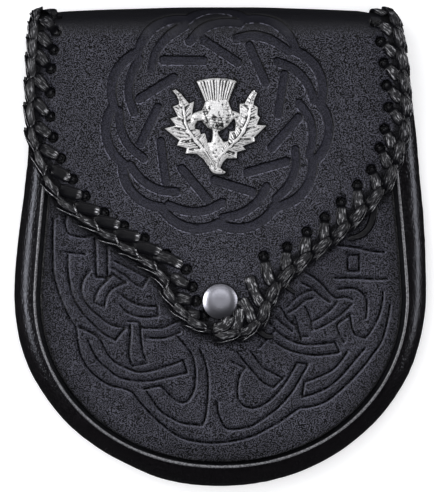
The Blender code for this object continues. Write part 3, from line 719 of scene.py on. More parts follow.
frontPanel = {
    "hiddenAbove": 24.0,  # the flap covers the panel above this height
    "trim": 0.9,  # its edge stands back from the piping
    "cell": 0.56,
    "columns": 276,
    "bowlRows": 176,
    "innerStep": 8,
    "snapWithin": 0.27,
    "grooveHalf": 0.62,
    "grooveDeep": 0.4,
    "shadowSide": (-0.5, 0.87),
    "braidHalf": 2.2,
    "shadeReach": 4.5,
    "flankHalf": 1.7,
    "flankDeep": 0.4,
    "waves": 0.12,
    "waveSize": 14.0,
    "hiddenRows": 24,
    "lineSteps": 5,
    "lineReach": 3.0,
    # how far in from the sides the painted shade of the dark border is measured, and how fast it fades at
    # the bottom
    "borderShare": (0.2, 0.6),
    "lines": {
        # pixels of the photograph, from one end of each pressed line to the other
        "outline": [(53, 220), (52.5, 237), (53, 270), (57, 288), (62, 302), (69, 317), (76, 327)],
        "outlineLeft": [(76, 327), (77.5, 340), (80, 353), (87, 367), (97, 377), (110, 385), (123, 388)],
        "outlineLow": [
            (123, 388), (132.5, 392.5), (140, 402), (150, 413), (163, 425), (177, 435), (190, 440),
            (207, 442.5), (215, 442.5), (232, 441), (252, 436), (268, 428), (282, 420), (293, 412),
            (300, 407.5),
        ],
        "outlineRight": [
            (300, 407.5), (308, 407), (322, 403), (332, 397), (348, 383), (362, 368), (372, 355),
            (382, 340),
            (388, 318), (390, 305),
        ],
        "leftLoopTop": [(67, 213), (65, 223), (67.5, 232.5), (76, 236), (85, 237), (93, 235)],
        "leftDash": [(65, 252), (85, 254)],
        "leftRing": [
            (67.5, 255), (67.5, 267), (69, 282), (73, 297), (82, 312), (92, 323), (103, 333), (115, 340),
        ],
        "leftRingEnd": [(115, 340), (125, 328)],
        "leftHook": [
            (90, 270), (84, 278), (81, 288), (83, 298), (90, 308), (98, 315), (110, 324), (125, 328),
        ],
        "barLeft": [(95, 238), (96, 277)],
        "barRight": [(107, 247), (107.5, 277.5)],
        "barEnd": [(96, 277), (107.5, 277.5)],
        "tieLow": [(112, 267.5), (125, 275), (133, 282), (142, 287.5)],
        "tieHigh": [(115, 261), (133, 270), (148, 278)],
        "tieEnd": [(142, 287.5), (148, 278)],
        "bowLeft": [(94, 301), (98, 290), (105, 282), (113, 274)],
        "bowRight": [(104, 306), (107, 295), (113, 288), (124, 283)],
        "bowTop": [(113, 274), (126, 283)],
        "bowLow": [(94, 302), (104, 307)],
        "braceHigh": [(119, 292.5), (127, 299), (137, 304), (147, 306), (157, 306)],
        "braceLow": [(120, 305), (127, 312), (137, 316), (147, 317), (158, 316)],
        "braceEnd": [(157, 306), (158, 316)],
        "slingHigh": [
            (128, 321), (138, 322), (143, 327.5), (153, 328), (163, 327.5), (173, 323), (182, 320),
        ],
        "slingLow": [(147, 337.5), (157, 338), (167, 337), (180, 332)],
        "postLeft": [(130, 325), (130, 338), (129, 355), (132, 366)],
        "postRight": [(140, 323), (141, 340), (143, 352), (147, 363)],
        "postEnd": [(132, 366), (147, 363)],
        "beltHigh": [
            (80, 327.5), (90, 332), (98, 337), (102, 343), (107, 353), (115, 362), (127, 368), (140, 372),
            (157, 369), (170, 365), (183, 360),
        ],
        "beltLow": [
            (88, 340), (92, 350), (98, 360), (107, 368), (117, 376), (130, 380), (147, 381), (163, 378),
            (187, 372.5),
        ],
        "beltEnd": [(183, 360), (187, 372.5)],
        "leftBagInner": [
            (178, 337), (185, 345), (192, 355), (195, 368), (195, 383), (192.5, 393), (187, 401),
            (180, 402),
            (172, 397), (163, 388), (158, 386), (144, 389),
        ],
        "leftBagOuter": [
            (200, 350), (205, 362), (207.5, 375), (208, 388), (207, 405), (205, 418), (202, 425),
        ],
        "leftBagLow": [(147, 392), (160, 410), (172, 418), (183, 423), (200, 425)],
        "rightDash": [(338, 245), (357, 247.5), (372, 251), (384, 252)],
        "rightRule": [(335, 278), (357, 278), (372, 279), (387, 279)],
        "boxTop": [(347.5, 255), (359, 255)],
        "boxRight": [(359, 255), (359, 271)],
        "boxLow": [(359, 271), (347.5, 271)],
        "boxLeft": [(347.5, 271), (347.5, 255)],
        "earOuter": [(338, 289), (352, 288), (360, 291), (366, 298), (367, 308), (366, 318)],
        "strutHigh": [(306, 272.5), (315, 278), (323, 285), (330, 293), (336, 298)],
        "strutLow": [(302, 283), (312, 288), (322, 297), (330, 302)],
        "earInner": [(336, 298), (345, 297), (352.5, 299)],
        "armHigh": [(312.5, 321), (322, 316), (332, 308), (337, 302)],
        "armLow": [(316, 329), (328, 323), (340, 315), (352, 304)],
        "wristHigh": [(287, 307), (295, 298), (305, 292), (312, 290)],
        "wristLow": [(288, 313), (297, 307), (305, 300), (313, 298)],
        "clampLow": [(276, 318), (282, 323), (292, 331)],
        "clampHigh": [(281, 308), (287, 318), (297, 327)],
        "peg": [(295, 317), (298, 328), (301, 340)],
        "pegRight": [(305, 307), (310, 318), (312, 330)],
        "pegEnd": [(303, 336), (308, 336)],
        "saddleHigh": [(270, 323), (278, 332), (290, 340), (303, 344), (318, 344), (335, 342)],
        "saddleLow": [(276, 342.5), (287, 349), (300, 353), (315, 355), (328, 354), (338, 352.5)],
        "saddleEnd": [(335, 342), (339, 352)],
        "thornLeft": [(350, 315), (343, 320), (337, 325), (339, 333), (344, 342)],
        "thornRight": [(350, 315), (352, 328), (356, 335), (365, 338)],
        "rightRim": [(383, 292), (382, 303), (378, 318), (370, 332), (365, 338)],
        "swingHigh": [(304, 382), (318, 377), (332, 370), (340, 362), (347, 352)],
        "swingLow": [(302, 397), (315, 393), (328, 387), (342, 375), (353, 362), (365, 348)],
        "swingEnd": [(304, 382), (302, 397)],
        "crossHigh": [(237, 352), (250, 368), (263, 382), (273, 387.5)],
        "crossLow": [(251, 352), (263, 367), (273, 373), (283, 378)],
        "crossEnd": [(273, 387.5), (283, 378)],
        "spur": [(259, 347.5), (274, 331)],
        "rightBagInner": [
            (297, 362.5), (290, 375), (282, 387), (272, 398), (262, 405), (252, 408), (243, 405),
            (238, 398),
            (237.5, 387), (240, 375), (245, 368),
        ],
        "rightBagTop": [(245, 368), (232.5, 362)],
        "rightBagOuter": [
            (308, 364), (300, 378), (293, 390), (285, 400), (275, 410), (265, 417), (253, 425), (243, 428),
            (232, 429), (225, 427), (221, 420), (218, 412), (217, 402),
        ],
        "rightBagEnd": [(297, 362.5), (308, 364)],
    },
    "look": {
        **embossedGrain,
        "layers": (borderShade, grooves, contactShade),
        "border": ((0.0, 11.0, 0.5), (0.6, 1.8, 0.85)),
        # the size of the noise patches that make each line and its painted highlight uneven
        "wear": 2.2,
        "unevenRange": (0.3, 0.6),
        "line": (0.12, 0.75),
        "lineDeep": 0.1,
        "lineDark": 0.9,
        "lineSleek": 0.15,
        "lipInner": (0.4, 0.8),
        "lipOuter": (0.9, 1.4),
        "lipSide": (-0.8, 0.1),
        "lipHighlight": 4.0,
        "flank": (0.5, 1.8),
        "flankSide": (0.0, 0.8),
        "flankDark": 0.35,
        "shadeDark": 0.75,
        "fixed": {"Specular IOR Level": 0.32},
    },
}


def makeFrontPanel(part):
    # straight rows from side to side over the outline, coarse where the flap hides them; the height is the
    # front's face with soft waves, minus a narrow groove and a wider hollow that fade out beside each line
    hiddenAbove, cell = part["hiddenAbove"], part["cell"]
    hidden = np.linspace(form["mouth"], hiddenAbove, part["hiddenRows"])
    seen = np.linspace(hiddenAbove, form["waist"], int((hiddenAbove - form["waist"]) / cell))
    right = halfOutline(form["seam"], np.concatenate([hidden, seen[1:]]), part["bowlRows"], -part["trim"])
    share = np.linspace(-1, 1, part["columns"] + 1)
    flat = np.stack([right[:, :1] * share + form["frontShift"], right[:, 1:] + 0 * share], -1)
    bands = [(smoothLine(fromPhoto(points), part["lineSteps"]), 0.0) for points in part["lines"].values()]
    flat, away, outward = snapTo(flat, bands, part["lineReach"], part["snapWithin"])
    away[:, 0] = away[:, -1] = away[-1] = 0.0
    x, y = np.moveaxis(flat, -1, 0)
    groove = part["grooveDeep"] * (1 - blendStep(away, 0.0, part["grooveHalf"]))
    flank = part["flankDeep"] * (1 - blendStep(away, 0.0, part["flankHalf"]))
    face = frontHeight(x, y)
    z = face - groove - flank + part["waves"] * softNoise(x, y, part["waveSize"], 3)
    outer, inner = (np.stack([x, y, height], -1) for height in (z, face - wall["front"]))
    points, faces = sheetBody(outer, inner, part["innerStep"])
    sideShare, bottomShare = part["borderShare"]
    border = np.minimum(1 - np.abs(share), sideShare) * right[:, :1]
    bottom = (y - (form["waist"] - form["seam"]["drop"])) * bottomShare
    border = np.minimum(border, np.clip(bottom, 0, None))
    braid = [(flapEdge.line[::10], part["braidHalf"])]
    values = {
        "shade": shadeUnder(braid, flat, part["shadeReach"]),
        "border": border,
        "groove": np.append(away.ravel(), np.full(len(points) - away.size, part["lineReach"])),
        "side": outward @ part["shadowSide"],
    }
    material = leatherMaterial("frontLeather", part["look"])
    name, slot = "frontPanel", "front_leather"
    return newPiece(name, points, faces, material, ["front_panel"], values, sharp=60)


# --- gusset

gusset = {
    "flange": 4.0,
    "drop": 0.5,
    "sideRows": 110,
    "bowlRows": 130,
    "around": 34,
    "puff": 0.35,
    "puffSize": 17.0,
    "crease": 0.10,
    "creaseSize": 2.6,
    "creaseStretch": 0.25,
    "creasePatch": 26.0,
    "slant": (7.0, 9.0),  # how far a crease runs along and across the strip on its way round the roll
    "leanBlend": 20.0,  # one side's lean goes over into the other's within this distance from the middle
    "shadeAcross": (0.8, 2.2),
    "lean": (
        # height, how far the body's left and right sides lie to the right of a symmetric one
        (-101.0, 0.0, 0.0),
        (-92.0, 2.4, -0.3),
        (-79.0, 1.7, -0.2),
        (-66.0, 1.2, -0.3),
        (-54.0, 0.4, 0.4),
        (-40.0, 0.1, 0.6),
        (-22.0, -0.2, 0.9),
        (-10.0, -0.3, 1.3),
        (3.0, 0.1, 1.7),
        (20.0, 1.0, 1.7),
        (35.0, 1.5, 1.6),
        (60.0, 1.0, 1.2),
        (90.0, 0.5, 0.8),
    ),
    "look": {
        **plainGrain,
        "colour": (0.004, 0.0035, 0.004),
        "layers": (creases, contactShade),
        "pebble": 0.9,
        "pebbleHigh": 0.035,
        "speck": 0.8,
        "speckRange": (0.35, 0.65),
        "patch": 9.0,
        "creaseTurn": 0.6,
        "creaseHigh": 0.03,
        "creaseRough": 0.25,
        "shadeDark": 0.9,
        "rough": 0.22,
        "roughVary": 0.12,
        "fixed": {"Specular IOR Level": 0.55, "Specular Tint": (0.86, 0.89, 1.0, 1.0)},
    },
}


def makeGusset(part):
    # a C-shaped section carried down one side, round the bowl and up the other: half = half the pouch's
    # depth, bulge = how far the roll stands out; creases run slantwise across the roll
    sideY = np.linspace(form["mouth"], form["waist"], part["sideRows"])
    seam = wholeOutline(halfOutline(form["seam"], sideY, part["bowlRows"]))
    body = wholeOutline(halfOutline(form["body"], sideY, part["bowlRows"]))
    height, leanLeft, leanRight = np.array(part["lean"]).T
    toRight = blendStep(body[:, 0], -part["leanBlend"], part["leanBlend"])
    lean = (np.interp(body[:, 1], height, column) for column in (leanLeft, leanRight))
    body[:, 0] += sum(weight * column for weight, column in zip((1 - toRight, toRight), lean))
    bulge = np.linalg.norm(body - seam, axis=1)[:, None]
    out = unit(body - seam)
    top = seamHeight(seam[:, 1:]) - wall["front"] - form["gap"] - part["drop"]
    bottom = wall["back"] + form["gap"]
    middle, half = (top + bottom) / 2, (top - bottom) / 2
    angle = np.linspace(0, np.pi, part["around"] + 1)[None, :]
    run = runAlong(body)[:, None]
    slide, turn = run + part["slant"][0] * angle, part["slant"][1] * angle
    share = blendStep(softNoise(slide, turn, part["creasePatch"], 8), -0.4, 0.4)
    crease = softNoise(slide, part["creaseStretch"] * turn, part["creaseSize"], 5) * (0.4 + 0.6 * share)
    puff = softNoise(slide, turn, part["puffSize"], 6)
    swell = (part["puff"] * puff + part["crease"] * crease) * np.sin(angle)
    flange = np.full_like(bulge, -part["flange"])
    outerAcross = np.hstack([flange, (bulge + swell) * np.sin(angle), flange])
    outerUp = np.hstack([half, (half + 0.5 * swell) * np.cos(angle), -half])
    few = angle[:, ::-4]
    thick = wall["gusset"]
    innerAcross = np.hstack([flange, (bulge - thick) * np.sin(few), flange])
    innerUp = np.hstack([thick - half, (half - thick) * np.cos(few), half - thick])
    across = np.hstack([outerAcross, innerAcross])
    up = np.hstack([outerUp, innerUp])
    sections = np.empty((*across.shape, 3))
    sections[..., :2] = seam[:, None, :] + across[..., None] * out[:, None, :]
    sections[..., 2] = middle + up
    points, faces = tubeBody(sections)
    around = np.cumsum(np.linalg.norm(np.diff(sections, axis=1, prepend=sections[:, :1]), axis=-1), axis=1)
    uv = np.stack(np.broadcast_arrays(run, around), -1)
    values = {"shade": (1 - blendStep(across, *part["shadeAcross"])) * (up > 0)}
    material = leatherMaterial("gussetLeather", part["look"])
    name, slot = "gussetLeather", "gusset_leather"
    return newPiece(name, points, faces, material, ["gusset"], values, uv, sharp=50)


# --- piping

piping = {
    "radius": 0.6,
    "offset": 1.3,
    "sink": 0.7,
    "welt": 2.6,
    "sideRows": 90,
    "bowlRows": 150,
    "around": 14,
    "waver": 0.06,
    "waverSize": 5.0,
    "look": {
        **plainGrain,
        # painted highlight: the piping is coloured far lighter than the black leather, so that its thin cord
        # shows as a lit line
        "colour": (0.11, 0.11, 0.118),
        "pebble": 0.5,
        "pebbleHigh": 0.01,
        "speckHigh": 0.015,
        "patch": 6.0,
        "mottle": 0.4,
        "rough": 0.24,
        "roughVary": 0.10,
        "fixed": {"Specular IOR Level": 1.0},
    },
}


def makePiping(part):
    # a cord carried along the front seam: half a circle on top, half an ellipse below that reaches the
    # gusset; its radius wavers a little
    sideY = np.linspace(form["mouth"], form["waist"], part["sideRows"])
    line = wholeOutline(halfOutline(form["seam"], sideY, part["bowlRows"], part["offset"]))
    line = line + (form["frontShift"], 0)
    along = unit(np.gradient(line, axis=0))
    out = np.column_stack([along[:, 1], -along[:, 0]])
    angle = np.arange(part["around"]) * 2 * np.pi / part["around"]
    radius = part["radius"] + part["waver"] * softNoise(*line.T, part["waverSize"], 12)[:, None]
    sections = np.empty((len(line), len(angle), 3))
    sections[..., :2] = line[:, None, :] + (radius * np.cos(angle))[..., None] * out[:, None, :]
    up = np.where(np.sin(angle) > 0, radius, part["welt"]) * np.sin(angle)
    sections[..., 2] = seamHeight(line[:, 1:]) - part["sink"] + up
    points, faces = tubeBody(sections)
    material = leatherMaterial("pipingHighlightLeather", part["look"])
    return newPiece("seamPiping", points, faces, material, ["piping"], sharp=60)


# --- flap

flap = {
    "cell": 0.56,
    "foldCell": 1.1,
    "columns": 280,
    "innerStep": 8,
    "tailLength": 13.0,
    "tailCell": 1.5,
    "tailHalf": 59.0,
    "edge": (
        # bend, left x, left y, right x, right y, on the flap laid flat
        ("fold_rear", -75.5, 124.0, 70.2, 124.0),
        ("fold_crest", -76.6, 106.0, 70.8, 106.0),
        ("fold_front", -78.0, 88.0, 75.0, 88.0),
        ("side", -79.2, 64.0, 77.4, 66.0),
        ("shoulder", -78.7, 48.0, 78.0, 51.5),
        ("corner", -75.6, 37.0, 74.8, 39.4),
        ("hip", -71.6, 27.0, 70.6, 27.6),
        ("slant_top", -65.0, 17.8, 63.8, 19.4),
        ("slant", -50.4, 6.6, 50.6, 6.3),
        ("slant_low", -32.6, -5.6, 33.0, -7.4),
        ("throat", -24.6, -12.6, 25.4, -14.8),
        ("tongue", -20.7, -21.2, 20.4, -22.8),
        ("cheek", -15.6, -28.0, 17.4, -30.2),
        ("chin", -8.6, -33.4, 11.2, -35.6),
        ("tip", 1.4, -37.6, 1.4, -37.6),
    ),
    "edgeSteps": 800,
    "edgeSmooth": 12,
    "shadeReach": 1.9,
    "sideShade": 0.15,
    "braidInset": 3.6,
    "holeRadius": 2.65,
    "holeDeep": 2.1,
    "holeToSnap": 8.4,
    "snapWithin": 0.27,
    "pressedDeep": 0.4,
    "pressedWall": 0.55,
    "shadowSide": (0.35, 0.94),
    "lipHigh": 0.08,
    "lipShape": (0.6, 0.35),  # the middle and the spread of the lip beside a pressed band
    "bandReach": 4.0,
    "dent": 0.18,
    "dentWide": 1.2,
    "pitWall": 0.3,
    "sideShadeX": (38.0, 72.0),
    "sideShadeY": (55.0, 88.0),
    "waves": 0.16,
    "waveSize": 17.0,
    "look": {
        **embossedGrain,
        "layers": (stretchedGrainAndShade, pressedBands, pits, contactShade),
        "smoothAbove": (86.0, 95.5),
        "stretchFlat": 0.8,
        "foldShadeTone": 0.55,
        "face": (-0.3, 0.05),
        "faceColour": (0.0110, 0.0110, 0.0165),
        "faceDeep": 0.10,
        "calm": 0.65,
        "rimInset": 0.25,
        "rim": (0.1, 0.5),
        "rimSide": (-0.3, 0.6),
        "rimDeep": 0.06,
        "rimShadow": 0.95,
        "dash": 1.5,
        "dashRange": (0.4, 0.6),
        "lipOffset": 0.3,
        "lip": (0.05, 0.35),
        "lipSide": (-0.7, 0.2),
        "lipHighlight": 7.0,
        "pitShade": 0.95,
        "pitSleek": 0.2,
        "shadeDark": 0.85,
        "fixed": {"Specular IOR Level": 0.38},
    },
}

rosette = {
    "middle": (217.5, 119.5),  # pixel of the photograph
    "count": 11,
    "firstAngle": 86.5,
    "bar": {"startRadius": 33.8, "startTurn": 13.0, "endRadius": 25.5, "endTurn": -16.0, "half": 1.95},
    "arc": {
        "turn": -9.6,
        "half": 1.9,
        "course": ((34.9, 0.0), (38.4, -10.5), (40.5, -21.5), (41.4, -33.0)),  # radius, further turn
    },
    "ring": {"cuspRadius": 43.7, "lobeRadius": 47.0, "cuspTurn": -12.6, "half": 2.1},
}


def polar(radius, degrees):
    turn = np.radians(degrees)
    return np.stack([radius * np.cos(turn), radius * np.sin(turn)], -1)


def rosetteBands():
    # pressed bands round the badge, each a line with its half width: bars, hooked arcs and a scalloped ring
    # whose radius rises from each cusp as 1 - (2t - 1)^2
    middle = fromPhoto(rosette["middle"])
    pitch = 360 / rosette["count"]
    bar, arc, ring = rosette["bar"], rosette["arc"], rosette["ring"]
    bands = []
    for angle in rosette["firstAngle"] + pitch * np.arange(rosette["count"]):
        ends = [polar(bar[end + "Radius"], angle + bar[end + "Turn"]) for end in ("start", "end")]
        bands.append((np.array(ends) + middle, bar["half"]))
        course = [polar(radius, angle + arc["turn"] + turn) for radius, turn in arc["course"]]
        bands.append((smoothLine(course, 6) + middle, arc["half"]))
    share = np.arange(rosette["count"] * 16 + 1) / 16
    rise = 1 - (2 * (share % 1) - 1) ** 2
    radius = ring["cuspRadius"] + (ring["lobeRadius"] - ring["cuspRadius"]) * rise
    scallops = polar(radius, rosette["firstAngle"] + ring["cuspTurn"] + pitch * share) + middle
    return bands + [(scallops, ring["half"])]


class FlapEdge:
    # the flap's edge laid flat, from rear left round the tip to rear right, measured along its length

    def __init__(self, table, cell):
        left = np.array([row[1:3] for row in table])
        right = np.array([row[3:5] for row in table])
        steps = np.ceil(np.abs(np.diff(left[:, 1])) / cell).astype(int)
        steps[:2] = np.ceil(np.abs(np.diff(left[:3, 1])) / flap["foldCell"]).astype(int)
        self.left = smoothLine(left, steps)
        self.right = smoothLine(right, steps)
        line = np.vstack([self.left, self.right[::-1][1:]])
        run = runAlong(line)
        self.run = np.linspace(0, run[-1], flap["edgeSteps"])
        self.line = between(self.run, run, line)
        along = np.gradient(self.line, self.run, axis=0)
        reach = flap["edgeSmooth"]
        smooth = np.ones(2 * reach + 1) / (2 * reach + 1)
        along = unit(np.stack([np.convolve(np.pad(a, reach, "edge"), smooth, "valid") for a in along.T], -1))
        self.inward = np.column_stack([-along[:, 1], along[:, 0]])

    def at(self, station, inset):
        # the place an inset in from the edge, also past its ends and outside it
        inward = between(station, self.run, self.inward)
        return between(station, self.run, self.line) + np.asarray(inset)[..., None] * inward


flapEdge = FlapEdge(flap["edge"], flap["cell"])


def contactBands():
    # what lies close over the flap, as lines with half widths: badge, snap and the braid's inner edge
    place = np.array(badge["place"])
    bands = []
    for rows in (badge["leftLeaf"], badge["rightLeaf"]):
        table = np.array([row[1:] for row in rows])
        bands += [(table[:, pick] + place, 0.0) for pick in (slice(2, 4), slice(4, 6))]
    crown, globe = badge["crown"], np.array(badge["globe"])
    for side in (-1, 1):
        foot = (crown["x"] + side * crown["halfBottom"], crown["bottom"])
        head = (crown["x"] + side * crown["halfTop"], crown["top"])
        bands.append((np.array([foot, head, (crown["x"], crown["top"] + crown["arch"])]) + place, 0.0))
        bands.append((np.column_stack([badge["globeX"] + side * globe[:, 1], globe[:, 0]]) + place, 0.0))
    for rows in badge["bars"]:
        rows = np.array(rows)
        bands.append((rows[:, :2] + place, rows[:, 2].mean()))
    spot = np.array(snap["place"])
    bands.append((np.array([spot, spot + (0.01, 0.0)]), snap["capRadius"]))
    inset = 0.5 * flap["braidInset"]
    run = flapEdge.run[::10]
    return bands + [(flapEdge.at(run, np.full(len(run), inset)), inset)]


def makeFlap(part):
    # straight rows from the left edge to the right one; rows near a hole bend onto its circle, and inside
    # it the leather drops away; the pressed bands sink and keep a low lip; shade is darkest under the
    # badge, the snap and the braid, and a little dark towards the flap's sides and its fold
    tailV = np.arange(part["tailLength"], 1.0, -part["tailCell"]) + form["foldY"] + form["foldLength"]
    tail = np.column_stack([np.full(len(tailV), part["tailHalf"]), tailV])
    left = np.vstack([tail * (-1, 1), flapEdge.left])
    right = np.vstack([tail, flapEdge.right])
    share = np.linspace(0, 1, part["columns"] + 1)[None, :, None]
    flat = left[:, None, :] * (1 - share) + right[:, None, :] * share
    flat, field, outward = snapTo(flat, rosetteBands(), part["bandReach"], part["snapWithin"])
    radius = part["holeRadius"]
    pit = np.zeros(flat.shape[:2])
    dent = np.zeros(flat.shape[:2])
    seen = holes["hidden"] < 0.5
    for centre in flapEdge.at(holes["station"][seen], holes["inset"][seen]):
        away = flat - centre
        far = np.linalg.norm(away, axis=-1)
        onto = np.abs(far - radius) < 0.5 * part["cell"]
        flat[onto] = centre + away[onto] * (radius / far[onto])[:, None]
        far[onto] = radius
        pit = np.maximum(pit, blendStep(radius - 0.02 - far, 0, part["pitWall"]))
        dent = np.maximum(dent, bell(far, radius, part["dentWide"]) * (far >= radius))
    x, v = np.moveaxis(flat, -1, 0)
    point, normal = flapSheet(x, v)
    sunk = 1 - blendStep(field, -part["pressedWall"], 0.0)
    rise = part["lipHigh"] * bell(field, *part["lipShape"]) - part["pressedDeep"] * sunk
    rise += part["waves"] * softNoise(x, v, part["waveSize"], 21) - part["dent"] * dent
    rise -= part["holeDeep"] * pit
    outer = point + (wall["flap"] + rise)[..., None] * normal
    points, faces = sheetBody(outer, point, part["innerStep"])
    rest = len(points) - field.size
    aside = np.maximum(blendStep(np.abs(x), *part["sideShadeX"]), blendStep(v, *part["sideShadeY"])).ravel()
    under = shadeUnder(contactBands(), flat, part["shadeReach"])
    values = {
        "shade": np.clip(under + part["sideShade"] * aside, 0, 1),
        "pressed": np.append(field.ravel(), np.full(rest, part["bandReach"])),
        "pit": pit,
        "side": outward @ part["shadowSide"],
    }
    material = leatherMaterial("flapLeather", part["look"])
    return newPiece("flapLeather", points, faces, material, ["flap"], values, sharp=75)


# --- edge lacing

lacing = {
    "holes": (
        # stretch, steps to the next one, place along the edge, inset from the edge, how far the strap runs
        # back and out from its hole, how far forward the plate's front end lies, how blunt that end is, and
        # whether the strap hides its hole
        ("rear_left", 3, 6.0, 8.0, 5.9, 5.9, 4.0, 0.5, 0.0),
        ("top_left", 2, 32.9, 9.3, 5.9, 5.9, 4.0, 0.5, 0.0),
        ("left_side", 4, 48.7, 8.0, 5.9, 5.9, 3.6, 0.5, 0.0),
        ("left_hip", 1, 90.6, 8.5, 6.6, 5.5, 3.0, 0.8, 0.0),
        ("left_bend", 2, 102.8, 9.4, 8.6, 4.8, 2.0, 1.0, 0.0),
        ("left_slant", 3, 125.3, 7.3, 10.3, 4.2, 1.3, 1.0, 0.0),
        ("left_low", 1, 155.6, 8.1, 10.3, 4.2, 1.3, 1.0, 0.0),
        ("left_throat", 1, 162.9, 10.8, 9.0, 5.5, 2.0, 0.8, 0.0),
        ("tongue_left", 2, 170.6, 10.2, 7.0, 5.5, 3.0, 0.5, 0.0),
        ("tongue_tip", 1, 186.9, 5.2, 6.5, 4.0, 3.0, 0.5, 0.0),
        ("tip", 1, 201.1, 7.0, 6.5, 4.6, 3.6, 0.4, 1.0),
        ("tongue_heel", 2, 210.0, 8.6, 6.0, 6.4, 4.2, 0.2, 1.0),
        ("tongue_right", 1, 228.0, 10.4, 5.6, 7.6, 4.8, 0.0, 1.0),
        ("right_throat", 1, 237.2, 12.2, 5.4, 8.6, 5.0, 0.0, 0.0),
        ("right_slant", 4, 245.7, 8.5, 6.0, 6.3, 5.6, 0.0, 0.0),
        ("right_bend", 2, 286.2, 8.8, 6.2, 6.2, 5.6, 0.0, 0.0),
        ("right_hip", 1, 308.7, 7.8, 6.0, 5.0, 5.0, 0.0, 0.0),
        ("right_elbow", 1, 317.6, 8.2, 6.5, 4.6, 4.6, 0.0, 0.0),
        ("right_side", 4, 329.0, 6.9, 6.5, 4.4, 4.6, 0.0, 0.0),
        ("top_right", 2, 367.2, 7.8, 6.0, 4.6, 4.6, 0.0, 0.0),
        ("rear_right", 0, 387.9, 8.0, 6.0, 4.6, 4.6, 0.0, 0.0),
    ),
    "thick": 1.0,
    "steps": 12,
    "fineSteps": 26,
    "jitter": 0.35,
    "bluntSkew": -1.5,
    "uvStep": 7.3,  # how far each strand's streaks lie from the next one's
    "loose": (
        # pixels of the photograph, width and lift over the front panel
        (((374, 207), (373, 217), (368, 229), (359, 236), (348, 239)), 3.4, 1.2),
        (((279, 274), (284, 281), (288, 288), (295, 293)), 2.4, 0.9),
        (((252, 322), (258, 330), (266, 336), (273, 337)), 3.2, 0.9),
    ),
    "look": {
        "colour": (0.004, 0.004, 0.005),
        "wearAndSheenColour": (0.66, 0.66, 0.69),
        "streakStretch": (2.0, 0.6),
        "streakScale": 2.4,
        "streakRange": (0.51, 0.65),
        "grain": 0.4,
        "rough": 0.26,
        "rim": (0.5, 0.85),
        "rimRough": 0.12,
        "fixed": {"Specular IOR Level": 0.28},
    },
}


def laceTable():
    # one value of each column for every hole, even within each stretch of the table
    rows = lacing["holes"]
    first = np.cumsum([0] + [row[1] for row in rows[:-1]])
    number = np.arange(first[-1] + 1)
    names = ("station", "inset", "back", "out", "front", "blunt", "hidden")
    table = {name: np.interp(number, first, [row[i + 2] for row in rows]) for i, name in enumerate(names)}
    snapAt = np.array(snap["place"])
    room = np.linalg.norm(flapEdge.at(table["station"], 0 * table["station"]) - snapAt, axis=-1)
    table["inset"] = np.minimum(table["inset"], room - flap["holeToSnap"] + 0.4 * table["hidden"])
    return table


def thongSection(steps=14):
    # a flat thong's outline, across and height from -1 to 1: the cosine and the sine, each raised to a power
    # under 1 with its sign kept, so that the section is squarish with a crowned top
    angle = np.arange(steps) * 2 * np.pi / steps
    waves = (np.cos(angle), 0.6), (np.sin(angle), 0.85)
    return [np.sign(wave) * np.abs(wave) ** power for wave, power in waves]


def thongBody(centre, facing, width, wearAndSheen, skew):
    # a thong along its middle line, its face turned to the facing; returns body, wear-and-sheen and uv
    # arrays
    along = unit(np.gradient(centre, axis=0))
    across = unit(np.cross(facing, along))
    up = np.cross(along, across)
    wide, high = (part[None, :, None] for part in thongSection())
    half = (width / 2)[:, None, None]
    section = centre[:, None, :] + half * wide * (across + skew * along)[:, None, :]
    section = section + lacing["thick"] / 2 * high * up[:, None, :]
    uv = np.stack(np.broadcast_arrays(wide[..., 0], runAlong(centre)[:, None] / 4), -1)
    return tubeBody(section), np.broadcast_to(wearAndSheen[:, None], section.shape[:2]), uv


def laceStrands(table, course, skew=0.0, steps=None):
    # one strand for every hole; the course has rows of run back and run out from the hole, height over the
    # leather, roll outwards in degrees, width, and wear and painted highlight, each one number or one for
    # every hole
    count = len(table["station"])
    control = np.stack([np.stack([np.broadcast_to(v, count) for v in row], -1) for row in course], 1)
    basis = smoothLine(np.eye(len(course)), 12)
    fine = np.linspace(0, len(basis) - 1, (steps or lacing["steps"]) + 1)
    weight = between(fine, np.arange(len(basis)), basis)
    back, out, height, roll, width, wearAndSheen = np.moveaxis(np.einsum("tr,krc->ktc", weight, control), -1, 0)
    station = table["station"][:, None] - back
    inset = table["inset"][:, None] - out
    flat, further = flapEdge.at(station, inset), flapEdge.at(station, inset - 0.5)
    point, normal = flapSheet(flat[..., 0], flat[..., 1])
    outward = unit(flapSheet(further[..., 0], further[..., 1])[0] - point)
    centre = point + (wall["flap"] + height)[..., None] * normal
    turn = np.radians(roll)[..., None]
    facing = np.cos(turn) * normal + np.sin(turn) * outward
    skews = np.broadcast_to(skew, count)
    strands = [thongBody(centre[k], facing[k], width[k], wearAndSheen[k], skews[k]) for k in range(count)]
    return [(body, wear, uv + (0, lacing["uvStep"] * k)) for k, (body, wear, uv) in enumerate(strands)]


def laceMaterial(look):
    # streaks run along the thong: noise stretched along its length, pale where wearAndSheen is high, which
    # is partly wear and partly painted highlight; its rims are sleek and black
    def surface(start):
        streak = noiseAlong(start, look["streakStretch"], look["streakScale"], 0.6)
        grain = noise(start, objectPlace(start), look["grain"], 3.0, 0.6)
        across = start.node("SeparateXYZ", None, {"Vector": start.node("UVMap", {"uv_map": "along"})})
        middle = 1 - abs(across).step(*look["rim"])
        pale = attribute(start, "wearAndSheen") * (streak.step(*look["streakRange"]) * 0.96 + 0.04) * middle
        colour = pale.math("MINIMUM", pale, 1.0).shade(look["colour"], look["wearAndSheenColour"])
        rough = middle * (streak * 0.2 + look["rough"] - 0.14) + look["rimRough"]
        height = (streak * 0.14 + grain * 0.05) * middle
        return {"Base Color": colour, "Roughness": rough, "Normal": bump(start, height)}

    return newMaterial("lacingLeather", look["fixed"], surface)


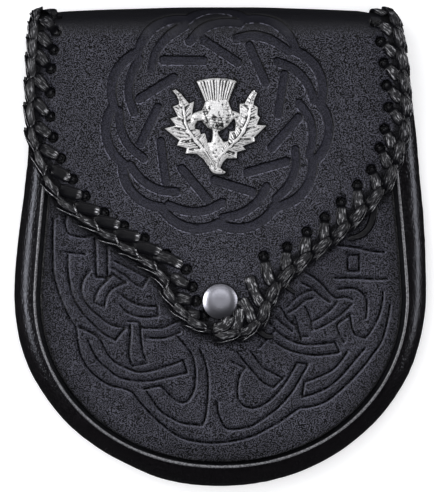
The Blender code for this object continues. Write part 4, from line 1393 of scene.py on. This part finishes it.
def makeLacing(part):
    # for every hole: a strap out of the hole, a plate that lies along the braid, a twist outside it, a thin
    # wrap round the leather's edge that also stands in for the shadow under the braid, and the strap that
    # goes in again behind; each course has rows of run back, run out, height, roll, width, and wear and
    # painted highlight
    back, out, edge, front, blunt, hidden = (
        holes[name] for name in ("back", "out", "inset", "front", "blunt", "hidden")
    )
    run = np.hypot(back, out)
    random = np.random.default_rng(4)

    def vary(amount):
        return amount * part["jitter"] * random.uniform(-1, 1, len(back))

    strands = []
    lift = vary(0.5)
    slim = 1 - blunt
    # painted highlight: a blunt strap is painted pale just outside its hole, where it bends down into it
    patch = 2.2 * np.clip(2 * blunt - 1, 0, 1)
    # slim straps are painted pale along their middle, partly wear and partly painted highlight
    strap = [
        (back * far / run, out * far / run, height, 0.0, width, wearAndSheen)
        for far, height, width, wearAndSheen in (
            (-0.4 - 1.4 * hidden, -2.0 + 1.9 * hidden, 1.6 + 2.4 * hidden, 0.3 * (1 - hidden)),
            (0.6 - 1.4 * hidden, -2.4 + (3.3 + lift) * hidden, 3.2 + 2.3 * hidden, 0.5 * hidden),
            (1.8 - 0.8 * hidden, -1.6 + (2.6 + lift) * hidden, 3.8 + 1.8 * hidden, 0.6 * hidden),
            (2.25, (1.0 + lift) * hidden, 4.2 + 1.4 * hidden, 0.4 * patch + 0.6 * hidden),
            (2.7, 0.9 + lift, 4.4 + 1.2 * hidden, patch + 0.6 * hidden),
            (3.3, 1.1 + lift, 4.3 + 0.5 * blunt + 1.0 * hidden, 0.4 * patch + 0.3 * slim),
            (3.9, 1.1 + lift, 4.3 + 0.8 * blunt + 1.0 * hidden, 0.04 + 0.35 * slim),
            (run * 0.62, 1.05 + lift, 5.2, 0.45 * slim),
            (run * 0.82, 0.9 + lift, 5.3, 0.6 * slim),
            (run * 1.0, 0.6, 5.1, 0.45 * slim),
            (run * 1.15, 0.0, 4.0, 0.0),
        )
    ]
    strands += laceStrands(holes, strap, steps=part["fineSteps"])
    rear = edge + 0.1 - 0.2 * blunt
    fore = edge - 0.6 - 0.5 * blunt
    tilt = vary(6.0)
    wide = 3.4 + 1.0 * slim
    # plates are painted pale in the middle, and blunt ones along their front end: partly wear, partly
    # painted highlight
    plate = (
        (10.6 - 1.2 * slim - front, rear + 0.3, -0.4, 6.0, wide - 2.4 * slim, 0.0),
        (9.0 - 0.8 * slim - front, rear + 0.1, 0.6, 8.0 + tilt, wide - 0.7 * slim, 0.0),
        (6.4 - front, rear, 1.5 + lift, 10.0 + tilt, wide + 0.2 * slim, 0.3),
        (3.2 - front, 0.5 * (rear + fore), 1.9 + lift, 12.0 + tilt, wide + vary(0.3), 0.4),
        (0.9 - front, fore, 1.5 + 0.6 * blunt, 16.0, wide - 1.0 * slim, 0.04),
        (0.2 - front, fore, 1.0 + 1.1 * blunt, 18.0, wide - 1.8 * slim, 1.2 * blunt),
        (-0.3 - front, fore, 0.5 + 1.5 * blunt, 20.0, wide - 2.6 * slim, 1.4 * blunt),
    )
    strands += laceStrands(holes, plate, skew=part["bluntSkew"] * blunt, steps=part["fineSteps"])
    twist = (
        (4.4 - 0.4 * blunt, edge + 1.6 - 0.6 * blunt, -0.6, 52.0, 1.8, 0.0),
        (2.6 + vary(0.8), edge + 1.9 - 1.0 * blunt, 0.4 - 0.5 * blunt, 46.0, 2.3, 0.7 * slim),
        (-0.6 + vary(0.8), edge + 1.7 - 1.4 * blunt, 1.0 - 0.9 * blunt, 42.0, 2.3 + vary(0.4), 0.9 * slim),
        (-3.4, edge + 1.1 - 1.4 * blunt, 0.9 - 0.7 * blunt, 38.0, 2.1, 0.5 * slim),
        (-6.0, edge + 0.3 - 1.0 * blunt, 0.3 - 0.4 * blunt, 34.0, 1.8, 0.0),
    )
    strands += laceStrands(holes, twist)
    far = 3.4 + 1.4 * blunt
    near = -1.8 - 2.2 * blunt
    outer = edge + 2.7 + 0.1 * blunt
    inner = edge + 1.9 - 1.7 * blunt
    wander = vary(0.7)
    # painted highlight: a thin strand painted pale outside each plate stands for the bright rim of the twist
    rimLine = (
        (far + 0.8, outer + 0.2, 0.7 * blunt - 0.6, 40.0, 0.5, 0.5),
        (0.7 * far + 0.3 * near, 0.7 * outer + 0.3 * inner + wander, 0.2 + 0.8 * blunt, 40.0, 0.65, 1.6),
        (0.3 * far + 0.7 * near, 0.3 * outer + 0.7 * inner - wander, 0.6 + 0.9 * blunt, 40.0, 0.65, 1.6),
        (near - 0.6, inner - 0.2, 0.7 + 1.2 * blunt, 40.0, 0.5, 1.0),
    )
    strands += laceStrands(holes, rimLine)
    # the wrap lies pushed out past the braid's outer line, so that its black side also stands in for the
    # shadow there
    wrap = (
        (6.4, edge + 2.4, -1.2, 60.0, 2.4, 0.0),
        (3.6, edge + 2.6, -1.6, 66.0, 3.0, 0.0),
        (0.6, edge + 2.4, -2.0, 80.0, 3.2, 0.0),
        (-2.4, edge + 1.8, -2.6, 104.0, 3.0, 0.0),
        (-4.8, edge + 0.6, -3.2, 135.0, 2.4, 0.0),
    )
    strands += laceStrands(holes, wrap)
    behind = (
        (-2.8, edge + 0.9, -3.3, 150.0, 2.8, 0.0),
        (-1.4, edge - 2.0, -3.4, 180.0, 3.8, 0.0),
        (-0.4, edge - 5.0, -3.3, 180.0, 4.0, 0.0),
        (0.2, 0.9, -3.0, 180.0, 3.8, 0.0),
        (0.2, 0.2, -2.3, 180.0, 3.2, 0.0),
    )
    strands += laceStrands(holes, behind)
    for pixels, width, lift in part["loose"]:
        line = smoothLine(fromPhoto(pixels), 5)
        share = np.linspace(0, 1, len(line))
        x, y = line.T
        centre = np.column_stack([x, y, frontHeight(x, y) + lift])
        narrowed = width * (1 - 0.35 * share**3)
        strands.append(thongBody(centre, frontNormal(x, y), narrowed, 0.06 * share, 0.0))
    points, faces = joinBodies([body for body, _, _ in strands])
    uv = np.concatenate([uv.reshape(-1, 2) for _, _, uv in strands])
    values = {"wearAndSheen": np.concatenate([wearAndSheen.ravel() for _, wearAndSheen, _ in strands])}
    material = laceMaterial(part["look"])
    name, slot = "edgeLacing", "lacing_leather"
    return newPiece(name, points, faces, material, ["edge_lacing"], values, uv, sharp=70)


# --- thistle badge

badge = {
    "place": (-1.9, 50.8),
    "gap": 0.45,
    "leafEdge": 1.2,
    "leafRise": 2.9,
    "leafPointRise": 1.9,
    "leafRelief": {
        # how far each of the leaf's forms stands up, or sinks where it is less than 0
        "tooth": 0.35,
        "rib": 0.3,
        "valley": -0.3,
        "deep": -0.6,
        "veins": -0.4,
        "uneven": 0.15,
        "rim": -0.35,
    },
    "leafStain": {"rib": -0.5, "valley": 0.75, "deep": 0.6, "veins": 0.8},
    "leftLeaf": (
        # part, rib x, rib y, outer x, outer y, inner x, inner y
        ("root", 0.3, -18.1, -0.8, -18.9, 1.0, -17.3),
        ("foot", -1.1, -15.6, -3.1, -16.6, -0.2, -13.7),
        ("heel", -2.6, -13.2, -4.9, -13.9, -1.2, -11.0),
        ("ankle", -3.8, -11.4, -7.6, -11.9, -2.3, -8.9),
        ("tooth_1", -4.7, -10.1, -12.3, -11.7, -3.1, -7.6),
        ("dip_1", -5.9, -8.7, -11.8, -9.5, -3.5, -5.6),
        ("tooth_2", -7.2, -7.1, -15.9, -8.3, -4.2, -3.1),
        ("dip_2", -8.6, -5.4, -14.9, -6.2, -6.0, -3.7),
        ("tooth_3", -10.0, -3.6, -21.1, -1.2, -6.4, -1.8),
        ("dip_3", -11.2, -1.6, -16.4, -0.0, -8.4, -1.4),
        ("tooth_4", -12.1, 0.4, -18.7, 3.0, -8.4, 0.7),
        ("dip_4", -12.6, 2.5, -15.5, 3.9, -9.8, 3.4),
        ("tooth_5", -12.9, 4.6, -17.7, 7.9, -8.8, 10.2),
        ("dip_5", -13.4, 7.9, -15.1, 9.0, -10.8, 9.2),
        ("neck", -14.1, 10.2, -15.1, 10.3, -12.5, 11.1),
        ("throat", -15.4, 12.6, -16.1, 12.8, -14.2, 13.3),
        ("point", -17.1, 14.8, -17.8, 14.7, -16.6, 15.2),
    ),
    "rightLeaf": (
        ("root", 1.1, -17.6, 2.3, -17.6, 0.4, -16.7),
        ("foot", 1.4, -14.7, 3.2, -15.6, 0.7, -13.4),
        ("heel", 2.6, -12.5, 4.9, -13.7, 1.4, -10.4),
        ("tooth_1", 3.8, -11.1, 9.1, -13.7, 2.6, -8.6),
        ("dip_1", 4.9, -9.9, 9.3, -11.1, 3.8, -6.9),
        ("tooth_2", 6.1, -8.9, 12.9, -10.1, 4.9, -6.7),
        ("dip_2", 7.3, -7.7, 11.6, -8.6, 5.6, -6.5),
        ("tooth_3", 8.5, -6.5, 16.8, -6.6, 6.2, -2.3),
        ("dip_3", 9.7, -5.2, 16.4, -5.0, 8.4, -2.3),
        ("tooth_4", 11.2, -3.3, 21.5, 0.0, 8.6, -0.2),
        ("dip_4", 12.5, -0.9, 17.5, 0.3, 8.8, 2.2),
        ("tooth_5", 13.6, 1.5, 18.8, 3.3, 10.3, 4.0),
        ("dip_5", 14.4, 3.7, 17.8, 4.5, 10.4, 5.8),
        ("tooth_6", 14.7, 5.8, 18.0, 7.7, 10.4, 9.1),
        ("dip_6", 14.9, 8.2, 16.1, 8.8, 12.5, 9.3),
        ("throat", 15.6, 11.4, 16.6, 11.2, 14.4, 12.9),
        ("point", 17.0, 14.1, 17.7, 13.6, 16.4, 15.0),
    ),
    "crown": {
        "x": 0.8,
        "top": 18.6,
        "bottom": 10.2,
        "halfTop": 8.5,
        "halfBottom": 4.9,
        "fan": 1.15,
        "arch": 1.3,
        "flutes": 12,
        "fluteRound": 0.7,
        "fluteHigh": 0.75,
        "middleHigh": 2.1,
        "sideFall": 0.9,
        "swell": (0.85, 0.3),  # the share of the height at the bottom, and what the way up adds
        "bandTop": (0.86, 0.94),
        "bandSide": (0.88, 0.95),
        "bandHigh": 0.8,
        "topDrop": 0.9,
        "sideDrop": 0.3,
    },
    "globe": (
        # height up the badge, half width
        (10.6, 4.7),
        (8.2, 5.5),
        (6.1, 6.4),
        (3.5, 7.0),
        (1.3, 5.7),
        (-0.8, 3.7),
        (-1.9, 1.6),
        (-2.3, 1.1),
    ),
    "globeX": 0.8,
    "globeHigh": 3.8,
    "scaleRow": 1.15,
    "scaleColumns": 5.2,
    "scaleWave": 0.25,
    # how high the scales and the lumps are everywhere, and what the lower part of the globe adds
    "scaleHigh": (0.12, 0.3),
    "lumpHigh": (0.1, 0.1),
    "posts": ((0.6, 5.0), (0.4, -10.5)),
    "postRadius": 1.1,
    "postReach": (0.5, -4.2),
    "barEdge": 0.35,
    "barLump": 0.16,
    "barLumpSize": 0.65,
    "bars": (
        # stem, plate between the leaves, tail, arms; rows of x, y, half width, height
        (
            (0.1, -1.4, 1.05, 2.3),
            (0.3, -4.1, 1.3, 2.5),
            (0.8, -6.5, 2.4, 2.6),
            (1.0, -8.6, 3.6, 2.5),
        ),
        (
            (0.9, -7.5, 4.1, 2.2),
            (0.7, -9.8, 3.5, 2.5),
            (0.5, -12.2, 2.6, 2.6),
            (0.3, -14.6, 1.6, 2.6),
            (0.6, -17.3, 0.9, 2.5),
        ),
        (
            (-1.6, -16.7, 1.3, 2.2),
            (0.1, -18.3, 1.7, 2.7),
            (1.8, -19.1, 1.35, 2.6),
            (3.2, -19.6, 0.8, 2.1),
            (4.3, -19.5, 0.3, 1.4),
        ),
        (
            (-4.6, 4.6, 2.0, 1.9),
            (-6.7, 4.0, 1.95, 2.3),
            (-8.2, 3.4, 1.8, 2.3),
            (-9.3, 1.3, 1.3, 2.1),
            (-9.7, -0.8, 1.0, 1.9),
        ),
        (
            (5.9, 4.6, 1.6, 1.9),
            (8.0, 4.5, 1.6, 2.4),
            (9.5, 3.4, 1.5, 2.5),
            (9.9, 1.0, 1.25, 2.3),
            (9.5, -1.4, 0.9, 2.0),
        ),
    ),
    "look": {
        "bright": (0.91, 0.905, 0.9),
        "dark": (0.025, 0.025, 0.025),
        "stainRange": (0.08, 0.75),
        "castSize": 1.1,
        "fineSize": 0.5,
        "rough": 0.27,
        "fixed": {"Metallic": 0.45},
    },
}


def reliefBody(x, y, z):
    # a relief over a flat back at height 0; returns points and faces
    top = np.stack(np.broadcast_arrays(x, y, z), -1)
    return sheetBody(top, top * (1, 1, 0), 1)


def leafBody(rows):
    # across each row the height falls from the rib to the rim; teeth stand up between the dips, with a dark
    # hollow under the upper side of each, fine dark veins along them and a narrow rib between two grooves
    table = np.array([row[1:] for row in rows])
    fine = 20
    count = (len(rows) - 1) * fine + 1
    place = np.arange(count) / fine
    rib = smoothLine(table[:, 0:2], fine)
    number = np.arange(len(rows))
    outer, inner = (between(place, number, table[:, pick]) for pick in (slice(2, 4), slice(4, 6)))
    share = np.linspace(-1, 1, 61)
    to = np.where(share[None, :, None] > 0, outer[:, None, :], inner[:, None, :])
    flat = rib[:, None, :] + np.abs(share)[None, :, None] * (to - rib[:, None, :])
    size = np.abs(share)[None, :]
    x, y = np.moveaxis(flat, -1, 0)
    uneven = softNoise(x, y, 1.3, 51)
    isTooth = [int(row[0].startswith("tooth")) for row in rows]
    crest = np.interp(place, number, isTooth)[:, None]
    falling = (np.gradient(crest[:, 0]) < 0)[:, None]
    inside = blendStep(size, 0.12, 0.3) * (1 - blendStep(size, 0.72, 0.9))
    deep = falling * inside * bell(crest, 0.45, 0.25) * blendStep(uneven, -1.0, 0.0)
    below = 1 - blendStep(place[:, None], isTooth.index(1) - 0.9, isTooth.index(1) - 0.2)
    across = np.cos(2 * np.pi * (place[:, None] + 0.12 * uneven + 0.25)) ** 4
    veins = across + (np.cos(6 * np.pi * (size + 0.06 * uneven)) ** 4 - across) * below
    veins = veins * (0.55 + 0.45 * softNoise(x, y, 2.1, 52))
    veins = veins * blendStep(size, 0.1, 0.25) * (1 - blendStep(size, 0.8, 0.97))
    ridge = bell(size, 0.0, 0.08)
    valley = bell(size, 0.17, 0.055) * blendStep(uneven, -0.9, 0.2)
    rise = np.interp(place, (3, len(rows) - 1), (badge["leafRise"], badge["leafPointRise"]))[:, None]
    smooth = badge["leafEdge"] + (rise - badge["leafEdge"]) * (1 - size**2.2)
    fields = {
        "tooth": (crest - 0.5) * np.sin(np.pi * size),
        "rib": ridge,
        "valley": valley,
        "deep": deep,
        "veins": veins,
        "uneven": uneven * inside,
        "rim": blendStep(size, 0.9, 1.0),
    }
    z = smooth + sum(high * fields[name] for name, high in badge["leafRelief"].items())
    hollow = np.clip(sum(dark * fields[name] for name, dark in badge["leafStain"].items()), 0, 1)
    return reliefBody(x, y, z), hollow


def crownBody():
    # flutes fan out from the globe to the arched top: rounded ridges |sin| with sharp dark grooves between,
    # and a plain band along the top and the sides; all falls with the square of the way to the sides
    crown = badge["crown"]
    share = np.linspace(-1, 1, crown["flutes"] * 10 + 1)[None, :]
    up = np.linspace(0, 1, 26)[:, None]
    half = crown["halfBottom"] + (crown["halfTop"] - crown["halfBottom"]) * up ** crown["fan"]
    ridge = np.abs(np.sin(np.pi * crown["flutes"] * (share + 1) / 2)) ** crown["fluteRound"]
    x = crown["x"] + half * share
    wear = softNoise(9 * share, 1.2 * up, 1.0, 61)
    high = crown["bandHigh"]
    band = np.maximum(blendStep(up, *crown["bandTop"]), high * blendStep(np.abs(share), *crown["bandSide"]))
    ridge = ridge * (1 - band) + high * band
    top = crown["top"] + crown["arch"] * (1 - share**2)
    y = crown["bottom"] + (top - crown["bottom"]) * up
    bottom, further = crown["swell"]
    z = (crown["middleHigh"] - crown["sideFall"] * share**2) * (bottom + further * up)
    z = z + crown["fluteHigh"] * (ridge - 0.5)
    z = z - crown["topDrop"] * blendStep(up, 0.9, 1.0)
    z = z - crown["sideDrop"] * blendStep(np.abs(share), 0.92, 1.0)
    # the stain is darkest in the grooves, patchy with the wear noise, and a little darker towards the right
    # side
    hollow = np.clip(1.25 - 1.5 * ridge + 0.5 * wear + 0.15 * share, 0, 1)
    return reliefBody(x, y, z), hollow


def globeBody():
    # a bulb: half an ellipse across at each height, covered with pointed scales in staggered rows
    heights, halves = np.array(badge["globe"]).T
    y = np.linspace(heights[0], heights[-1], 66)[:, None]
    halfLine = smoothLine(np.column_stack([halves, heights]), 8)
    half = np.interp(-y, -halfLine[:, 1], halfLine[:, 0])
    angle = np.linspace(-np.pi / 2, np.pi / 2, 71)[None, :]
    x = badge["globeX"] + half * np.sin(angle)
    dome = badge["globeHigh"] * (half / halves.max()) ** 0.7 * np.cos(angle) ** 0.8
    row = y / badge["scaleRow"] + badge["scaleWave"] * np.sin(3 * angle)
    column = angle * badge["scaleColumns"] / np.pi * 2 + 0.5 * (np.floor(row) % 2)
    local = np.abs(column % 1 - 0.5) * 2
    tip = row % 1
    scale = np.clip(1 - np.abs(tip - 0.35) * 1.5 - 0.8 * local**2, 0, 1)
    lump = softNoise(x, y, 0.7, 31)
    low = (1 - blendStep(y, 3.0, 5.6)) * blendStep(y, -2.2, -0.4) * np.cos(angle)
    scaleHigh, lumpHigh = (some + more * low for some, more in (badge["scaleHigh"], badge["lumpHigh"]))
    z = 0.5 + dome + scaleHigh * scale * np.cos(angle) + lumpHigh * lump
    cloud = softNoise(x, y, 1.6, 32)
    facet = softNoise(x, 0.45 * y, 0.8, 33)
    hollow = 0.28 - 0.3 * scale + 0.45 * facet + low * (0.16 - 0.3 * lump - 0.2 * cloud)
    hollow = np.clip(hollow, 0, 1) * blendStep(dome, 0.1, 1.0)
    return reliefBody(x, y, z), hollow


def barBody(course, steps=10):
    # a rounded bar through (x, y, half width, height), an arch across each section, with a mottled face
    course = smoothLine(course, steps)
    line, half, high = course[:, :2], course[:, 2:3], course[:, 3:4]
    along = unit(np.gradient(line, axis=0))
    side = np.column_stack([along[:, 1], -along[:, 0]])
    share = np.linspace(-1, 1, 15)[None, :]
    flat = line[:, None, :] + (half * share)[..., None] * side[:, None, :]
    x, y = np.moveaxis(flat, -1, 0)
    lump = softNoise(x, y, badge["barLumpSize"], 41)
    edge = badge["barEdge"] * high
    z = edge + (high - edge) * np.sqrt(np.clip(1 - share**2, 0, 1)) + badge["barLump"] * lump
    hollow = np.clip(0.2 - 0.7 * lump, 0, 1) * (1 - np.abs(share))
    return reliefBody(x, y, z), hollow


def silverMaterial(look):
    # polished on the ridges, dark and dull in the hollows, with cast unevenness
    def surface(start):
        place = objectPlace(start)
        cast = noise(start, place, look["castSize"], 4.0, 0.6)
        fine = noise(start, place, look["fineSize"], 1.0, 0.6)
        stain = attribute(start, "hollow") * 1.2 + (cast - 0.5) * 0.9 + (fine - 0.5) * 1.1
        stain = stain.step(*look["stainRange"])
        colour = stain.shade(look["bright"], look["dark"])
        rough = look["rough"] + stain * 0.35 + cast * 0.16
        relief = bump(start, cast * 0.25 + fine * 0.16, 0.9)
        return {"Base Color": colour, "Roughness": rough, "Normal": relief}

    return newMaterial("castSilver", look["fixed"], surface)


def makeBadge(part):
    # crown, globe, leaves, stem, arms and tail as closed reliefs that sink into each other, and two posts
    parts = [crownBody(), globeBody(), leafBody(part["leftLeaf"]), leafBody(part["rightLeaf"])]
    parts += [barBody(rows) for rows in part["bars"]]
    bodies, hollows = [], []
    for (points, faces), hollow in parts:
        bodies.append((points, faces))
        hollows.append(np.append(hollow.ravel(), np.zeros(len(points) - hollow.size)))
    radius, (high, low) = part["postRadius"], part["postReach"]
    post = [(0, high), (radius, high), (radius, low), (0, low)]
    for x, y in part["posts"]:
        points, faces = turnedBody(post, 16)
        bodies.append((points + (x, y, 0), faces))
        hollows.append(np.zeros(len(points)))
    points, faces = joinBodies(bodies)
    base, axes = standOn(*part["place"], form["flapLift"])
    base = base + (wall["flap"] + part["gap"]) * axes[2]
    return newPiece(
        "thistleBadge",
        base + points @ axes,
        faces,
        silverMaterial(part["look"]),
        ["thistle_badge"],
        {"hollow": np.concatenate(hollows)},
        sharp=62,
    )


# --- snap fastener

snap = {
    "place": (0.3, -23.3),
    "capRadius": 7.4,
    "capEdge": 0.8,
    "capHigh": 1.9,
    "neck": 1.8,
    "socket": {"radius": 5.2, "inner": 3.2, "deep": 2.2, "roof": 0.7},
    "sides": 96,
    "look": {
        "colour": (0.68, 0.68, 0.76),
        "rough": 0.40,
        "scuffSize": 0.8,
        "cloudSize": 6.0,
        "fixed": {"Metallic": 1.0},
    },
}


def snapMaterial(look):
    # satin metal with fine scuffs
    def surface(start):
        place = objectPlace(start)
        scuff = noise(start, place, look["scuffSize"], 4.0, 0.7)
        cloud = noise(start, place, look["cloudSize"])
        colour = tint(start, look["colour"], (cloud * 0.3 + 0.85) * (0.94 + scuff * 0.12))
        rough = look["rough"] + (scuff - 0.5) * 0.16
        return {"Base Color": colour, "Roughness": rough, "Normal": bump(start, scuff * 0.03)}

    return newMaterial("snapMetal", look["fixed"], surface)


def makeSnap(part, material):
    # the cap's face falls with the radius' fourth power to a rolled rim; the socket sits under the leather
    under = -wall["flap"] - form["gap"]
    radius = part["capRadius"]
    share = np.linspace(0, 0.93, 22)
    cap = [(radius * s, part["capEdge"] + part["capHigh"] * (1 - s**4)) for s in share]
    angle = np.linspace(0.35, np.pi, 9)
    rim = 0.5 * part["capEdge"]
    cap += [(radius - rim + rim * np.sin(a), form["gap"] + rim + rim * np.cos(a)) for a in angle]
    neck, socket = part["neck"], part["socket"]
    bottom, roof = under - socket["deep"], under - socket["roof"]
    cap += [(neck, form["gap"]), (neck, under), (socket["radius"], under), (socket["radius"], bottom)]
    cap += [(socket["inner"], bottom), (socket["inner"], roof), (0, roof)]
    base, axes = standOn(*part["place"], form["flapLift"])
    base = base + wall["flap"] * axes[2]
    points, faces = turnedBody(cap, part["sides"])
    return newPiece("snapCap", base + points @ axes, faces, material, ["snap_cap"], sharp=40)


# --- the scene

makeCamera()
makeStudio()
makeFloor()
holes = laceTable()
makeBackPanel(backPanel)
makeGusset(gusset)
makePiping(piping)
makeFrontPanel(frontPanel)
makeFlap(flap)
makeLacing(lacing)
makeBadge(badge)
snapFinish = snapMaterial(snap["look"])
makeSnap(snap, snapFinish)
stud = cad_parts["snap_stud"]
stud.data.materials.clear()
stud.data.materials.append(snapFinish)
